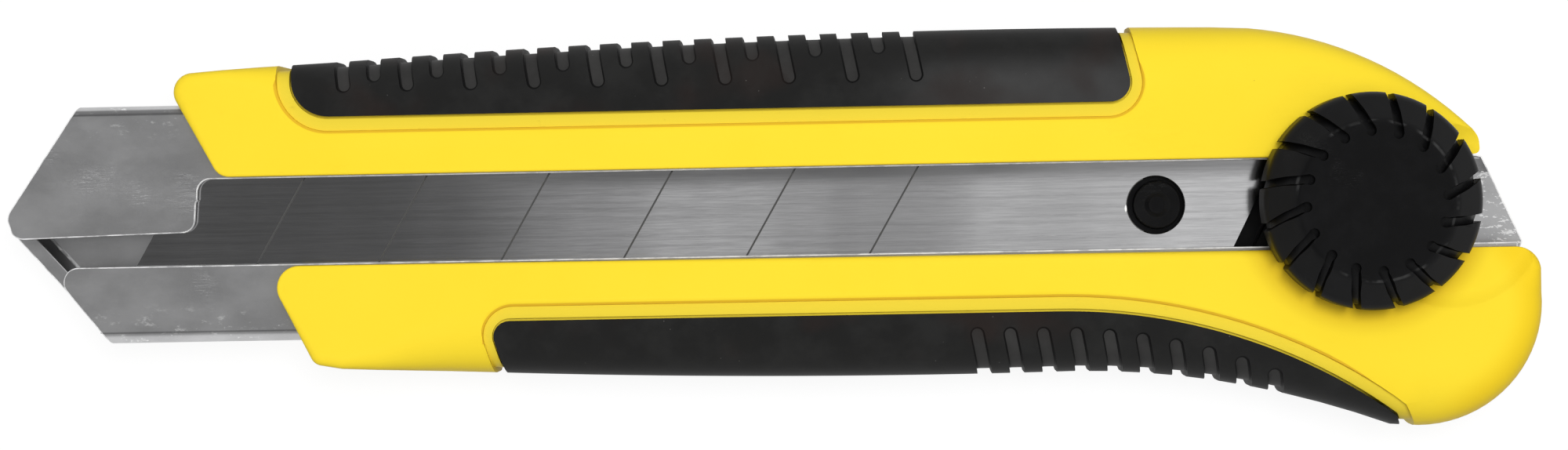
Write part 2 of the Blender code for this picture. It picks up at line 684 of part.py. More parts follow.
def belly_notches():
    """Finger grooves that follow the edge of the lower grip down to the palm."""
    places = []
    for k in range(BELLY_NOTCHES):
        x = PALM_X - 0.0112 + BELLY_NOTCH_PITCH * k
        top_y = belly_grip_edge(x) - 0.0024 - 0.00005 * k
        low_y = belly_y(x) - 0.003
        places.append(((x, top_y), (x + (top_y - low_y) * math.tan(NOTCH_LEAN), low_y)))
    return places


def make_grip(name, bar_outline, grip_outline, notches, rubber):
    """A skin that wraps the outer edge of one bar, notched on its outside."""
    low, high = -PAST, BODY_DEPTH + PAST
    grip = slab(name, bar_outline, look=rubber)
    keep(grip, prism("plan", grip_outline(), low, high))
    cut(grip, core(bar_outline, GRIP_THICKNESS, GRIP_FACE))
    tools = [prism("notch", stadium(a, b, NOTCH_WIDTH), low, high) for a, b in notches]
    tool = combine("notches", tools)
    cut(tool, core(bar_outline, NOTCH_DEPTH, NOTCH_DEPTH))
    return finish(cut(grip, tool))


# --- slider: blade, carrier, bolt, spring --------------------------------------------
def leaning(x, y, angle):
    """X on a line through (x, 0 at the lower edge) that leans right going up."""
    return x + (y + BLADE_WIDTH / 2) / math.tan(angle)


def make_blade(steel):
    half, tip, tail = BLADE_WIDTH / 2, BLADE_TIP_X, BLADE_TIP_X + BLADE_LENGTH
    grind, fine = 0.0026, 0.00003
    rows = [(-half, fine), (-half + grind, BLADE_THICKNESS / 2), (half, BLADE_THICKNESS / 2)]
    middle = (BLADE_TOP + BLADE_BOTTOM) / 2
    section = [(y, middle - t) for y, t in rows] + [(y, middle + t) for y, t in reversed(rows)]
    bm = bmesh.new()
    loops = []
    for start, angle in ((tip, BLADE_ANGLE), (tail, BLADE_TAIL_ANGLE)):
        loops.append([bm.verts.new((leaning(start, y, angle), y, z)) for y, z in section])
    skin(bm, loops)
    blade = new_object("blade", bm, steel)
    lines = []
    for k in range(1, SCORE_COUNT + 1):
        x0 = tip + k * SCORE_PITCH - 0.0003
        low, high = -half - PAST, half + PAST
        outline = [(leaning(x0, low, BLADE_ANGLE), low), (leaning(x0 + 0.00025, low, BLADE_ANGLE), low),
                   (leaning(x0 + 0.00025, high, BLADE_ANGLE), high),
                   (leaning(x0, high, BLADE_ANGLE), high)]
        lines.append(prism("score", outline, BLADE_TOP - 0.00015, BLADE_TOP + 0.0005))
    cut(blade, combine("scores", lines))
    return cut(blade, cylinder("hole", (BLADE_HOLE_X, 0), BLADE_HOLE_RADIUS,
                               BLADE_BOTTOM - PAST, BLADE_TOP + PAST))


def make_carrier(plastic):
    half, end = TONGUE_HALF, KNOB_X - 0.008
    tongue = rounded([(PIN_X - 0.0050, -half, 0.003, 0), (end, -half, 0, 0),
                      (end, half, 0, 0), (PIN_X - 0.0050, half, 0.003, 0)])
    front, rear = KNOB_X - 0.0100, KNOB_X + 0.0085
    lean = CARRIER_HALF / math.tan(BLADE_TAIL_ANGLE)
    block = rounded([(front - lean, -CARRIER_HALF, 0, 0), (rear - 0.004, -CARRIER_HALF, 0.002, 0),
                     (rear, -0.0040, 0.001, 0), (rear, 0.0040, 0.001, 0),
                     (rear - 0.004, CARRIER_HALF, 0.002, 0), (front + lean, CARRIER_HALF, 0, 0)])
    carrier = prism("blade_carrier", block, CARRIER_BOTTOM, CARRIER_TOP, plastic)
    add(carrier, prism("tongue", tongue, CARRIER_BOTTOM, TONGUE_TOP))
    hub = rounded([(KNOB_X - 0.0085, -HUB_HALF, 0.002, 0), (KNOB_X + 0.0080, -HUB_HALF, 0.002, 0),
                   (KNOB_X + 0.0080, HUB_HALF, 0.002, 0), (KNOB_X - 0.0085, HUB_HALF, 0.002, 0)])
    add(carrier, prism("hub", hub, CARRIER_TOP - 0.0004, LIP_TOP))
    pin = [(0, TONGUE_TOP - 0.0004), (0.00275, TONGUE_TOP - 0.0004), (0.00275, BLADE_TOP - 0.0001),
           (0.00255, BLADE_TOP + 0.0001), (0.0015, BLADE_TOP + 0.0001),
           (0.0009, BLADE_TOP - 0.0004), (0, BLADE_TOP - 0.0004)]
    add(carrier, turned("pin", pin, steps=24, centre=(PIN_X, 0)))
    reach = BOLT_HEAD_HALF + CLEAR
    head = box("head", (KNOB_X - reach, -reach, CARRIER_BOTTOM - PAST),
               (KNOB_X + reach, reach, BOLT_HEAD_TOP + CLEAR))
    half_x, half_y = SPRING_LENGTH / 2 + CLEAR, SPRING_WIDTH / 2 + CLEAR
    room = box("room", (SPRING_X - half_x, -half_y, CARRIER_BOTTOM - PAST),
               (SPRING_X + half_x, half_y, CARRIER_BOTTOM + 0.0012))
    bore = cylinder("bore", (KNOB_X, 0), BOLT_RADIUS + CLEAR, CARRIER_BOTTOM, LIP_TOP + PAST)
    return cut(carrier, head, room, bore)


def make_bolt(steel):
    bolt = box("clamp_bolt", (KNOB_X - BOLT_HEAD_HALF, -BOLT_HEAD_HALF, BOLT_HEAD_BOTTOM),
               (KNOB_X + BOLT_HEAD_HALF, BOLT_HEAD_HALF, BOLT_HEAD_TOP), steel)
    r = BOLT_RADIUS
    shank = [(0, BOLT_HEAD_TOP - 0.0004), (r, BOLT_HEAD_TOP - 0.0004), (r, NUT_TOP - 0.0006),
             (r - 0.0006, NUT_TOP - CLEAR), (0, NUT_TOP - CLEAR)]
    return add(bolt, turned("shank", shank, steps=24, centre=(KNOB_X, 0)))


def make_spring(steel):
    """A bowed leaf under the carrier that takes up its play."""
    count = 8
    lower, upper = [], []
    for i in range(count + 1):
        t = 2 * i / count - 1
        x = SPRING_X + t * SPRING_LENGTH / 2
        z = CARRIER_BOTTOM - 0.0001 + SPRING_BOW * (1 - t * t)
        lower.append((x, z))
        upper.append((x, z + SPRING_SHEET))
    profile = lower + upper[::-1]
    bm = bmesh.new()
    loops = [[bm.verts.new((x, y, z)) for x, z in profile]
             for y in (-SPRING_WIDTH / 2, SPRING_WIDTH / 2)]
    skin(bm, loops)
    return new_object("carrier_spring", bm, steel)


def make_clamp_plate(steel):
    """The washer that the knob presses on the front face; its tongue keeps it from turning."""
    r = KNOB_RADIUS - 0.0022
    plate = cylinder("clamp_plate", (KNOB_X, 0), r, PLATE_SEAT, PLATE_SEAT + PLATE_THICKNESS,
                     steel, 32)
    half = HUB_HALF
    tongue = rounded([(KNOB_X - 0.0070, -half, 0.0015, 0), (KNOB_X + 0.0070, -half, 0.0015, 0),
                      (KNOB_X + 0.0070, half, 0.0015, 0), (KNOB_X - 0.0070, half, 0.0015, 0)])
    add(plate, prism("tongue", tongue, LIP_TOP + CLEAR, PLATE_SEAT + 0.0004))
    return cut(plate, cylinder("bore", (KNOB_X, 0), BOLT_RADIUS + CLEAR, LIP_TOP,
                               PLATE_SEAT + 0.002))


def make_washer(steel):
    low = PLATE_SEAT + PLATE_THICKNESS + CLEAR
    r = BOLT_RADIUS + CLEAR
    profile = [(r, low), (r + 0.0022, low), (r + 0.0022, low + WASHER_THICKNESS),
               (r, low + WASHER_THICKNESS)]
    return turned("spring_washer", profile, steel, 28, (KNOB_X, 0.0))


def make_nut(brass):
    corner = NUT_FLATS / math.sqrt(3)
    nut = cylinder("knob_nut", (KNOB_X, 0), corner, NUT_BOTTOM, NUT_TOP, brass, 6)
    return cut(nut, cylinder("bore", (KNOB_X, 0), BOLT_RADIUS + CLEAR, NUT_BOTTOM - PAST,
                             NUT_TOP + PAST))


def knob_groove(angle):
    """One groove: in at the disc, down the flank and out through the skirt."""
    r, disc, depth = KNOB_RADIUS, KNOB_DISC_RADIUS, GROOVE_DEPTH
    section = [(disc - 0.0015, KNOB_TOP + PAST), (disc - 0.0015, KNOB_TOP - depth),
               (disc - depth, KNOB_TOP - depth - 0.0003), (r - 0.0012, KNOB_SKIRT_TOP - depth),
               (r - 0.0007, KNOB_SKIRT_TOP - 2 * depth), (r - 0.0007, KNOB_BOTTOM - PAST),
               (r + PAST, KNOB_BOTTOM - PAST), (r + PAST, KNOB_TOP + PAST)]
    bm = bmesh.new()
    loops = []
    for side in (-1, 1):
        loop = []
        for radius, z in section:
            lean = angle + GROOVE_LEAN * (radius - disc + 0.0015) / (r - disc + 0.0015)
            shift = side * GROOVE_WIDTH / 2
            x = KNOB_X + radius * math.cos(lean) - shift * math.sin(angle)
            y = radius * math.sin(lean) + shift * math.cos(angle)
            loop.append(bm.verts.new((x, y, z)))
        loops.append(loop)
    skin(bm, loops)
    return new_object("groove", bm)


def make_knob(plastic):
    r, disc, rim = KNOB_RADIUS, KNOB_DISC_RADIUS, 0.0004
    inside = r - 0.0016
    profile = [(0, KNOB_CEILING), (inside, KNOB_CEILING), (inside, KNOB_BOTTOM),
               (r - rim, KNOB_BOTTOM), (r, KNOB_BOTTOM + rim), (r, KNOB_SKIRT_TOP - 0.0006),
               (r - 0.0005, KNOB_SKIRT_TOP), (disc, KNOB_TOP - rim), (disc - rim, KNOB_TOP),
               (0, KNOB_TOP)]
    knob = turned("lock_knob", profile, plastic, 64, (KNOB_X, 0.0))
    grooves = []
    for k in range(KNOB_GROOVES):
        grooves.append(knob_groove(GROOVE_PHASE + 2 * math.pi * k / KNOB_GROOVES))
    cut(knob, combine("grooves", grooves))
    corner = (NUT_FLATS + 2 * CLEAR) / math.sqrt(3)
    return cut(knob, cylinder("nut", (KNOB_X, 0), corner, KNOB_CEILING - PAST,
                              NUT_TOP + CLEAR, steps=6))


# --- assembly -------------------------------------------------------------------------
def clear_scene():
    for obj in list(bpy.data.objects):
        bpy.data.objects.remove(obj)


def main():
    clear_scene()
    yellow = look("yellow_abs", YELLOW, 0.38)
    rubber = look("black_rubber", BLACK, 0.72)
    plastic = look("black_plastic", BLACK, 0.50)
    steel = look("guide_steel", STEEL, 0.30, 1.0)
    blade_steel = look("blade_steel", BLADE_STEEL, 0.25, 1.0)
    fastener = look("zinc_steel", STEEL, 0.35, 1.0)
    brass = look("brass", BRASS, 0.35, 1.0)

    make_handle(yellow)
    make_cover(yellow)
    make_grip("upper_grip", spine_outline(), spine_grip_outline, spine_notches(), rubber)
    make_grip("lower_grip", belly_outline(), belly_grip_outline, belly_notches(), rubber)
    make_guide(steel)
    for i, x in enumerate(RIVET_XS, 1):
        make_rivet(f"guide_rivet_{i}", x, fastener)
    for i, place in enumerate(screw_places(), 1):
        make_screw(f"cover_screw_{i}", place, fastener)

    slider = axis_empty("slider_axis", (KNOB_X, 0.0, BLADE_TOP))
    knob_axis = axis_empty("knob_axis", (KNOB_X, 0.0, KNOB_BOTTOM))
    finish(make_blade(blade_steel), (BLADE_HOLE_X, 0.0, BLADE_TOP), slider)
    finish(make_carrier(plastic), (KNOB_X, 0.0, CARRIER_TOP), slider)
    finish(make_spring(fastener), (SPRING_X, 0.0, CARRIER_BOTTOM), slider)
    finish(make_bolt(fastener), (KNOB_X, 0.0, BOLT_HEAD_TOP), slider)
    finish(make_clamp_plate(fastener), (KNOB_X, 0.0, PLATE_SEAT), knob_axis)
    finish(make_washer(fastener), (KNOB_X, 0.0, NUT_BOTTOM), knob_axis)
    finish(make_knob(plastic), (KNOB_X, 0.0, KNOB_BOTTOM), knob_axis)
    finish(make_nut(brass), (KNOB_X, 0.0, NUT_BOTTOM), knob_axis)


main()
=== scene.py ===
"""Utility knife: the visible surfaces, their finishes and the studio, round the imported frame."""
import math

import bmesh
import bpy
from bpy.props import FloatProperty, FloatVectorProperty, IntProperty, PointerProperty
from mathutils import Matrix, Vector


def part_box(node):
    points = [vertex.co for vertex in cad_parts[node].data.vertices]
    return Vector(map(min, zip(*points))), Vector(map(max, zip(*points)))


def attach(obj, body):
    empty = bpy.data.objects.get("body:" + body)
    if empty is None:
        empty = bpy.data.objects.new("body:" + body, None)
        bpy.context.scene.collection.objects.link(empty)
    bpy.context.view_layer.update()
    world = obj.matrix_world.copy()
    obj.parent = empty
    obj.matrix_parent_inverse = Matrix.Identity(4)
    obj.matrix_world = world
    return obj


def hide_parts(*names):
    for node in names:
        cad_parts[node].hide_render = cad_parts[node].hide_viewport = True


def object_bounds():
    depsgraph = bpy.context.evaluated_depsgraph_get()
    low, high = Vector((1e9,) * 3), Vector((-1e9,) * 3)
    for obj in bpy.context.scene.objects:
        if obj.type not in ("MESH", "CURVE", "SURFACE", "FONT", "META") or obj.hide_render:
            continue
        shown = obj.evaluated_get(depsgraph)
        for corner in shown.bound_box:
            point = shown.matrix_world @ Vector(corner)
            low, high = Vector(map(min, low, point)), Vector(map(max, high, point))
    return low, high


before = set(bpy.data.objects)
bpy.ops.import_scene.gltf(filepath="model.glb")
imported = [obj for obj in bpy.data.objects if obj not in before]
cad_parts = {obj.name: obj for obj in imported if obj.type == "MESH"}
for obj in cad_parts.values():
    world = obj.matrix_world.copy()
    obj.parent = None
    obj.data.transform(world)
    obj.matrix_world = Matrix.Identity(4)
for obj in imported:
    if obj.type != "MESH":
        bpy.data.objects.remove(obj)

bl_info = {
    "name": "Utility knife",
    "version": (1, 0, 0),
    "blender": (4, 5, 0),
    "location": "View3D > Sidebar > Knife",
    "description": "Models the shells, steel and knob of a snap-off utility knife and lights them",
    "category": "Object",
}

MM = 0.001
CAD_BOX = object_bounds()

# --- where things are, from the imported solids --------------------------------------
GUIDE_MIN, GUIDE_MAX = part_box("blade_guide")
BLADE_MIN, BLADE_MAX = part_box("blade")
KNOB_MIN, KNOB_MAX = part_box("lock_knob")
COVER_MIN, COVER_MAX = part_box("back_cover")
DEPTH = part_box("handle_body")[1].z        # back to front face of the handle
NOSE_X = BLADE_MIN.x - 9.9 * MM           # corner of the steel nose
KNOB_X = (KNOB_MIN.x + KNOB_MAX.x) / 2
KNOB_R = (KNOB_MAX.x - KNOB_MIN.x) / 2
GUIDE_HALF, GUIDE_LOW = GUIDE_MAX.y, GUIDE_MIN.y
LIP_TOP, PLATE_BOTTOM = GUIDE_MAX.z, GUIDE_MIN.z
COVER_HALF = COVER_MAX.y

# --- sizes that the pieces share ----------------------------------------------------
CLEAR = 0.3 * MM                          # gap between pieces
PAST = 1 * MM                             # a cutter reaches past the solid by this
SHEET = 0.6 * MM                          # steel of the guide
LIP_BOTTOM, PLATE_TOP = LIP_TOP - SHEET, PLATE_BOTTOM + SHEET
POCKET_BOTTOM, POCKET_TOP = PLATE_BOTTOM - CLEAR, LIP_TOP + CLEAR
SLOT_HALF = 4.9 * MM                      # to the edge of either steel lip
SHELL_SLOT = SLOT_HALF + 0.2 * MM         # to the plastic over it
TAIL_HIGH = KNOB_X + 12.9 * MM            # the handle ends here above the slot
TAIL_LOW = KNOB_X + 18.2 * MM             # and here below it

# --- handle -------------------------------------------------------------------------
REACH, FULLNESS = 1.3, 0.82               # how a rounded edge eases into the flat face
SPINE_WALL, BELLY_WALL = 7.0 * MM, 5.55 * MM
SPINE_BOW = 2.44                          # twice the radius of the spine's arc, in metres
BELLY_BOW, BELLY_DROP = 0.46, 5.2         # how fast the belly's arc rises and its drop falls
FALL_X, FALL_RADIUS = KNOB_X - 16.7 * MM, 40 * MM       # the spine's fall to the tail
PALM_X = KNOB_X - 32.7 * MM               # the belly drops to the palm from here
BELLY_LOW_X = PALM_X - 17 * MM
PALM_CENTRE = (KNOB_X + 6.2 * MM, -(GUIDE_HALF - 1.4 * MM))
PALM_RADIUS = 13.7 * MM
DISH_CENTRE = (KNOB_X + 9.6 * MM, -1.9 * MM)
DISH_RIM = ((-0.75, 8.5), (-0.68, 9.1), (-0.45, 9.7), (-0.18, 10.15), (0.02, 10.6), (1.0, 11.6))
SHOULDER = ((-1.0, 0.9), (0.0, 0.7), (0.10, 0.34), (0.32, 0.08), (0.75, 0.0))   # of a grip's bed

# --- grips --------------------------------------------------------------------------
GRIP_THICKNESS, GRIP_FACE = 1.5 * MM, 0.9 * MM
GRIP_LINE = -(GUIDE_HALF - 1.6 * MM)      # straight edge of the lower grip
SWEEP_X, SWEEP_RADIUS = PALM_X - 2 * MM, 64 * MM        # and its curve along the palm
SPINE_NOTCHES, SPINE_NOTCH_X, SPINE_PITCH = 19, NOSE_X + 38.2 * MM, 3.583 * MM
BELLY_NOTCHES, BELLY_NOTCH_X, BELLY_PITCH = 10, PALM_X - 11.2 * MM, 3.72 * MM

# --- guide, blade and knob ------------------------------------------------------------
CHIN_X = NOSE_X + 11.3 * MM               # where the chin meets the bottom of the guide
NOSE_SPREAD = GUIDE_HALF + 2 * MM
TAB_Y, TAB_LOW_Y = -1.15 * MM, -1.65 * MM      # lower edge of the nose tab, tail and nose ends
TAB_END_X = NOSE_X + 21.2 * MM
GUIDE_BEND = 1.1 * MM
BLADE_LEAN, BLADE_TAIL_LEAN = 60.0, 63.3  # degrees, of the score lines and of the tail
BLADE_TAIL_X = BLADE_MAX.x - (BLADE_MAX.y - BLADE_MIN.y) / math.tan(math.radians(BLADE_TAIL_LEAN))
BLADE_HOLE, BLADE_HOLE_R = (KNOB_X - 23.37 * MM, 0.0), 3.25 * MM
DISC_R = 9.0 * MM                         # flat disc of the knob
KNOB_SHOULDER = KNOB_MAX.z - 2.4 * MM     # the sloped flank ends here
GROOVE_PHASE, GROOVE_LEAN = 4.0, 9.0      # degrees

# --- stage ----------------------------------------------------------------------------
AMBIENT = 0.32                            # even light on dull surfaces
FLOOR_GLOW, FLOOR_SHARE = 1.04, 0.86      # the floor's own white, and how much of it shows
FLOOR_BELOW, FLOOR_SEEN = (0.30, 0.30, 0.30), (0.92, 0.92, 0.92)
CEILING_REACH = 0.3
CEILING = ((-0.118, 0.13), (-0.088, 0.36), (-0.042, 0.60), (-0.004, 0.20), (0.034, 0.52),
           (0.12, 0.78), (0.26, 0.90))    # brightness by how far a mirror looks to the tail
CEILING_EDGE = (0.94, 0.78)               # upward part of a glance where white sides take over
LAMPS = (("key", (0.10, 0.11, 0.65), 0.22, 2.45),      # place over the middle, size, power
         ("fill", (-0.08, -0.02, 0.68), 0.50, 1.05))
CAMERA_PLACE = (0.0105, 0.0006, 0.3781)
CAMERA_TURNS = (("Y", 1.47), ("X", -0.33), ("Z", -1.06))        # degrees
CAMERA_LENS, CAMERA_SENSOR = 73.92, 36.0
WHITE = (1.0, 1.0, 1.0)


def length(name, default, low, high, description):
    """A size in millimetres that the panel shows."""
    return FloatProperty(name=name, description=description, default=default * MM,
                         min=low * MM, max=high * MM, precision=4, unit="LENGTH")


def colour(name, default, description):
    return FloatVectorProperty(name=name, description=description, subtype="COLOR",
                               default=default, min=0, max=1)


class KnifeSizes(bpy.types.PropertyGroup):
    """Sizes of the visible detail."""
    edge_round: length("Edge rounding", 5.5, 1, 7, "Radius along the spine and the belly")
    border_width: length("Border width", 1.6, 0.5, 3, "Lowered band of plastic round each grip")
    border_depth: length("Border depth", 0.6, 0.1, 0.8, "How far that band lies under the face")
    notch_width: length("Notch width", 1.65, 0.5, 3, "Width of the notches in both grips")
    notch_depth: length("Notch depth", 0.6, 0.1, 0.8, "Depth of the notches in both grips")
    notch_lean: FloatProperty(
        name="Notch lean", description="Lean of the notches towards the tail",
        default=math.radians(11), subtype="ANGLE")
    knob_grooves: IntProperty(
        name="Knob grooves", description="Grooves round the locking knob",
        default=16, min=6, max=32)
    groove_width: length("Groove width", 1.15, 0.4, 3, "Width of a knob groove")
    groove_depth: length("Groove depth", 0.8, 0.2, 1.2, "Depth of a knob groove")
    score_pitch: length("Score pitch", 14, 5, 25,
                        "Distance between the snap-off lines of the blade")


class KnifeColours(bpy.types.PropertyGroup):
    """Base colours of the finishes."""
    shell: colour("Shell", (1.0, 0.745, 0.034), "Moulded plastic of the handle")
    rubber: colour("Rubber", (0.0082, 0.0082, 0.0080), "Soft grips")
    knob: colour("Knob", (0.0022, 0.0022, 0.0024), "Locking knob and carrier")
    guide: colour("Guide", (0.50, 0.50, 0.505), "Stamped steel of the nose and channel")
    blade: colour("Blade", (0.78, 0.78, 0.79), "Ground and brushed blade steel")
    zinc: colour("Zinc", (0.42, 0.42, 0.43), "Plated screws, bolt and washers")
    brass: colour("Brass", (0.55, 0.38, 0.15), "Threaded insert of the knob")


# --- modelling ----------------------------------------------------------------------
def take(*objects):
    """Select only these objects, the first of them active."""
    bpy.ops.object.select_all(action="DESELECT")
    for obj in objects:
        obj.select_set(True)
    bpy.context.view_layer.objects.active = objects[0]


def set_ring(obj, points):
    """Put the corners of the selected face on these points, in turn."""
    bm = bmesh.from_edit_mesh(obj.data)
    face = next(f for f in bm.faces if f.select)
    for vertex, point in zip(face.verts, points):
        vertex.co = point
    bmesh.update_edit_mesh(obj.data)


def filled_ring(name, points):
    """A new object in edit mode: one filled ring through these points."""
    bpy.ops.object.select_all(action="DESELECT")
    bpy.ops.mesh.primitive_circle_add(vertices=len(points), fill_type="NGON",
                                      enter_editmode=True)
    obj = bpy.context.object
    obj.name = name
    set_ring(obj, points)
    return obj


def close_up(obj, merge=1e-7):
    """Merge doubles, drop loose edges, turn faces outwards and leave edit mode."""
    bpy.ops.mesh.select_all(action="SELECT")
    bpy.ops.mesh.remove_doubles(threshold=merge)
    bpy.ops.mesh.delete_loose(use_verts=True, use_edges=True, use_faces=False)
    bpy.ops.mesh.select_all(action="SELECT")
    bpy.ops.mesh.normals_make_consistent(inside=False)
    bpy.ops.object.mode_set(mode="OBJECT")
    return obj


def loft(name, loops):
    """A solid through equal loops of points: one filled ring, extruded from loop to loop."""
    obj = filled_ring(name, loops[0])
    for loop in loops[1:]:
        bpy.ops.mesh.extrude_region_move()
        set_ring(obj, loop)
    return close_up(obj)


def spun(name, profile, centre, steps=64):
    """A closed (radius, z) profile spun about a vertical axis."""
    obj = filled_ring(name, [(centre[0] + r, centre[1], z) for r, z in profile])
    bpy.ops.mesh.delete(type="ONLY_FACE")
    bpy.ops.mesh.select_all(action="SELECT")
    bpy.ops.mesh.spin(steps=steps, angle=2 * math.pi, center=(*centre, 0), axis=(0, 0, 1))
    return close_up(obj, 1e-6)


def prism(name, outline, low, high):
    """A flat plate with this plan, between two levels."""
    return loft(name, [[(p[0], p[1], z) for p in outline] for z in (low, high)])


def join(name, objects):
    take(*objects)
    if len(objects) > 1:
        bpy.ops.object.join()
    obj = bpy.context.object
    obj.name = name
    return obj


def boolean(target, tool, operation):
    modifier = target.modifiers.new("boolean", "BOOLEAN")
    modifier.object = tool
    modifier.operation = operation
    modifier.solver = "EXACT"
    take(target)
    bpy.ops.object.modifier_apply(modifier=modifier.name)
    bpy.data.objects.remove(tool)
    return target


def cut(target, *tools):
    for tool in tools:
        boolean(target, tool, "DIFFERENCE")
    return target


def add(target, *tools):
    for tool in tools:
        boolean(target, tool, "UNION")
    return target


def keep(target, tool):
    return boolean(target, tool, "INTERSECT")


def tidy(obj, merge=2e-6):
    """Merge what a cut left almost touching."""
    take(obj)
    bpy.ops.object.mode_set(mode="EDIT")
    bpy.ops.mesh.select_all(action="SELECT")
    bpy.ops.mesh.dissolve_degenerate(threshold=merge)
    return close_up(obj, merge)


def mark_faces(obj, name, test):
    """An attribute that is 1 on the faces that pass the test."""
    layer = obj.data.attributes.new(name, "FLOAT", "FACE")
    for face, mark in zip(obj.data.polygons, layer.data):
        mark.value = float(test(face))


def soften(obj, width, segments=2, angle=35.0, mark=None, clamp=True):
    """A small round on every sharp edge; mark names an attribute that is 1 on the new faces."""
    modifier = obj.modifiers.new("edge", "BEVEL")
    if mark:
        obj.data.materials.clear()
        for _ in range(2):
            obj.data.materials.append(None)
        obj.data.polygons.foreach_set("material_index", [0] * len(obj.data.polygons))
        modifier.material = 1
    modifier.width = width
    modifier.segments = segments
    modifier.limit_method = "ANGLE"
    modifier.angle_limit = math.radians(angle)
    modifier.use_clamp_overlap = clamp
    modifier.miter_outer = "MITER_ARC"
    take(obj)
    bpy.ops.object.modifier_apply(modifier=modifier.name)
    if mark:
        mark_faces(obj, mark, lambda face: face.material_index == 1)
        obj.data.polygons.foreach_set("material_index", [0] * len(obj.data.polygons))
    return obj


def inside(outline, x, y):
    """Whether a point lies inside a plan outline."""
    odd = False
    for (x0, y0, *_), (x1, y1, *_) in zip(outline, outline[1:] + outline[:1]):
        if (y0 > y) != (y1 > y) and x < x0 + (y - y0) * (x1 - x0) / (y1 - y0):
            odd = not odd
    return odd


def mark_inside(obj, name, outlines):
    """An attribute that is 1 on faces that lie wholly inside one of these plan outlines."""
    spans = [(min(p[0] for p in o), max(p[0] for p in o), o) for o in outlines]
    homes = [{k for k, (a, b, o) in enumerate(spans) if a < v.co.x < b and inside(o, *v.co[:2])}
             for v in obj.data.vertices]
    mark_faces(obj, name, lambda face: bool(set.intersection(*(homes[i] for i in face.vertices))))


def dress(obj, finish, body, *nodes, angle=33.0):
    """Shade, finish and seat one piece, and let it stand for its solids."""
    take(obj)
    bpy.ops.object.transform_apply(location=True, rotation=True, scale=True)
    bpy.ops.object.shade_smooth_by_angle(angle=math.radians(angle))
    modifier = obj.modifiers.new("even shading", "WEIGHTED_NORMAL")
    modifier.keep_sharp = True
    modifier.weight = 80
    bpy.ops.object.modifier_apply(modifier=modifier.name)
    obj.data.materials.clear()
    obj.data.materials.append(finish)
    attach(obj, body)
    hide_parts(*nodes)


def solid_copy(node, name):
    """A merged copy of a solid, its flat faces whole again, to be worked finer."""
    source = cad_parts[node]
    obj = bpy.data.objects.new(name, source.data.copy())
    bpy.context.scene.collection.objects.link(obj)
    take(obj)
    bpy.ops.object.mode_set(mode="EDIT")
    bpy.ops.mesh.select_all(action="SELECT")
    bpy.ops.mesh.customdata_custom_splitnormals_clear()
    bpy.ops.mesh.remove_doubles(threshold=1e-6)
    bpy.ops.mesh.dissolve_limited(angle_limit=math.radians(1.0))
    bpy.ops.mesh.normals_make_consistent(inside=False)
    bpy.ops.object.mode_set(mode="OBJECT")
    return obj


# --- outlines -----------------------------------------------------------------------
def arc(centre, radius, start, end, count):
    """Points on an arc, angles in degrees."""
    angles = [math.radians(start + (end - start) * i / count) for i in range(count + 1)]
    return [(centre[0] + radius * math.cos(a), centre[1] + radius * math.sin(a)) for a in angles]


def rounded(corners, step=6.0):
    """Outline points (x, y, edge rounding) from corners (x, y, plan radius, edge rounding).

    A corner may leave out its roundings, which are then none.
    """
    points = []
    for i, corner in enumerate(corners):
        x, y, radius, edge = (*corner, 0, 0)[:4]
        before = Vector(corners[i - 1][:2])
        after = Vector(corners[(i + 1) % len(corners)][:2])
        here = Vector((x, y))
        incoming, outgoing = here - before, after - here
        turn = incoming.angle_signed(outgoing)
        if radius == 0 or abs(turn) < 0.01:
            points.append((x, y, edge))
            continue
        run = min(radius * math.tan(abs(turn) / 2),
                  min(incoming.length, outgoing.length) * 0.49)
        first = here - incoming.normalized() * run
        last = here + outgoing.normalized() * run
        count = max(2, math.ceil(abs(math.degrees(turn)) / step))
        weight = math.cos(turn / 2)       # makes the quadratic below a true arc
        for k in range(count + 1):
            t = k / count
            a, b, c = (1 - t) ** 2, 2 * t * (1 - t) * weight, t ** 2
            point = (first * a + here * b + last * c) / (a + b + c)
            points.append((point.x, point.y, edge))
    return points


def stations(start, end, step):
    count = max(1, math.ceil(abs(end - start) / step))
    return [start + (end - start) * i / count for i in range(count + 1)]


def spine_y(x):
    """Upper edge of the handle: one long shallow arc."""
    crest = (NOSE_X + KNOB_X) / 2 + 35.3 * MM
    return GUIDE_HALF + SPINE_WALL - (x - crest) ** 2 / SPINE_BOW


def belly_y(x):
    """Lower edge: a shallow arc, then the drop to the palm."""
    rise = BELLY_BOW * (min(x, PALM_X) - BELLY_LOW_X) ** 2
    return rise - (GUIDE_HALF + BELLY_WALL) - BELLY_DROP * max(0.0, x - PALM_X) ** 2


def growing(x, start, full):
    """Rounding of the long edges, which runs out smoothly towards the nose."""
    t = min(max((x - start) / (16 * MM), 0.0), 1.0)
    return 1.1 * MM + (full - 1.1 * MM) * (t * t * (3 - 2 * t))


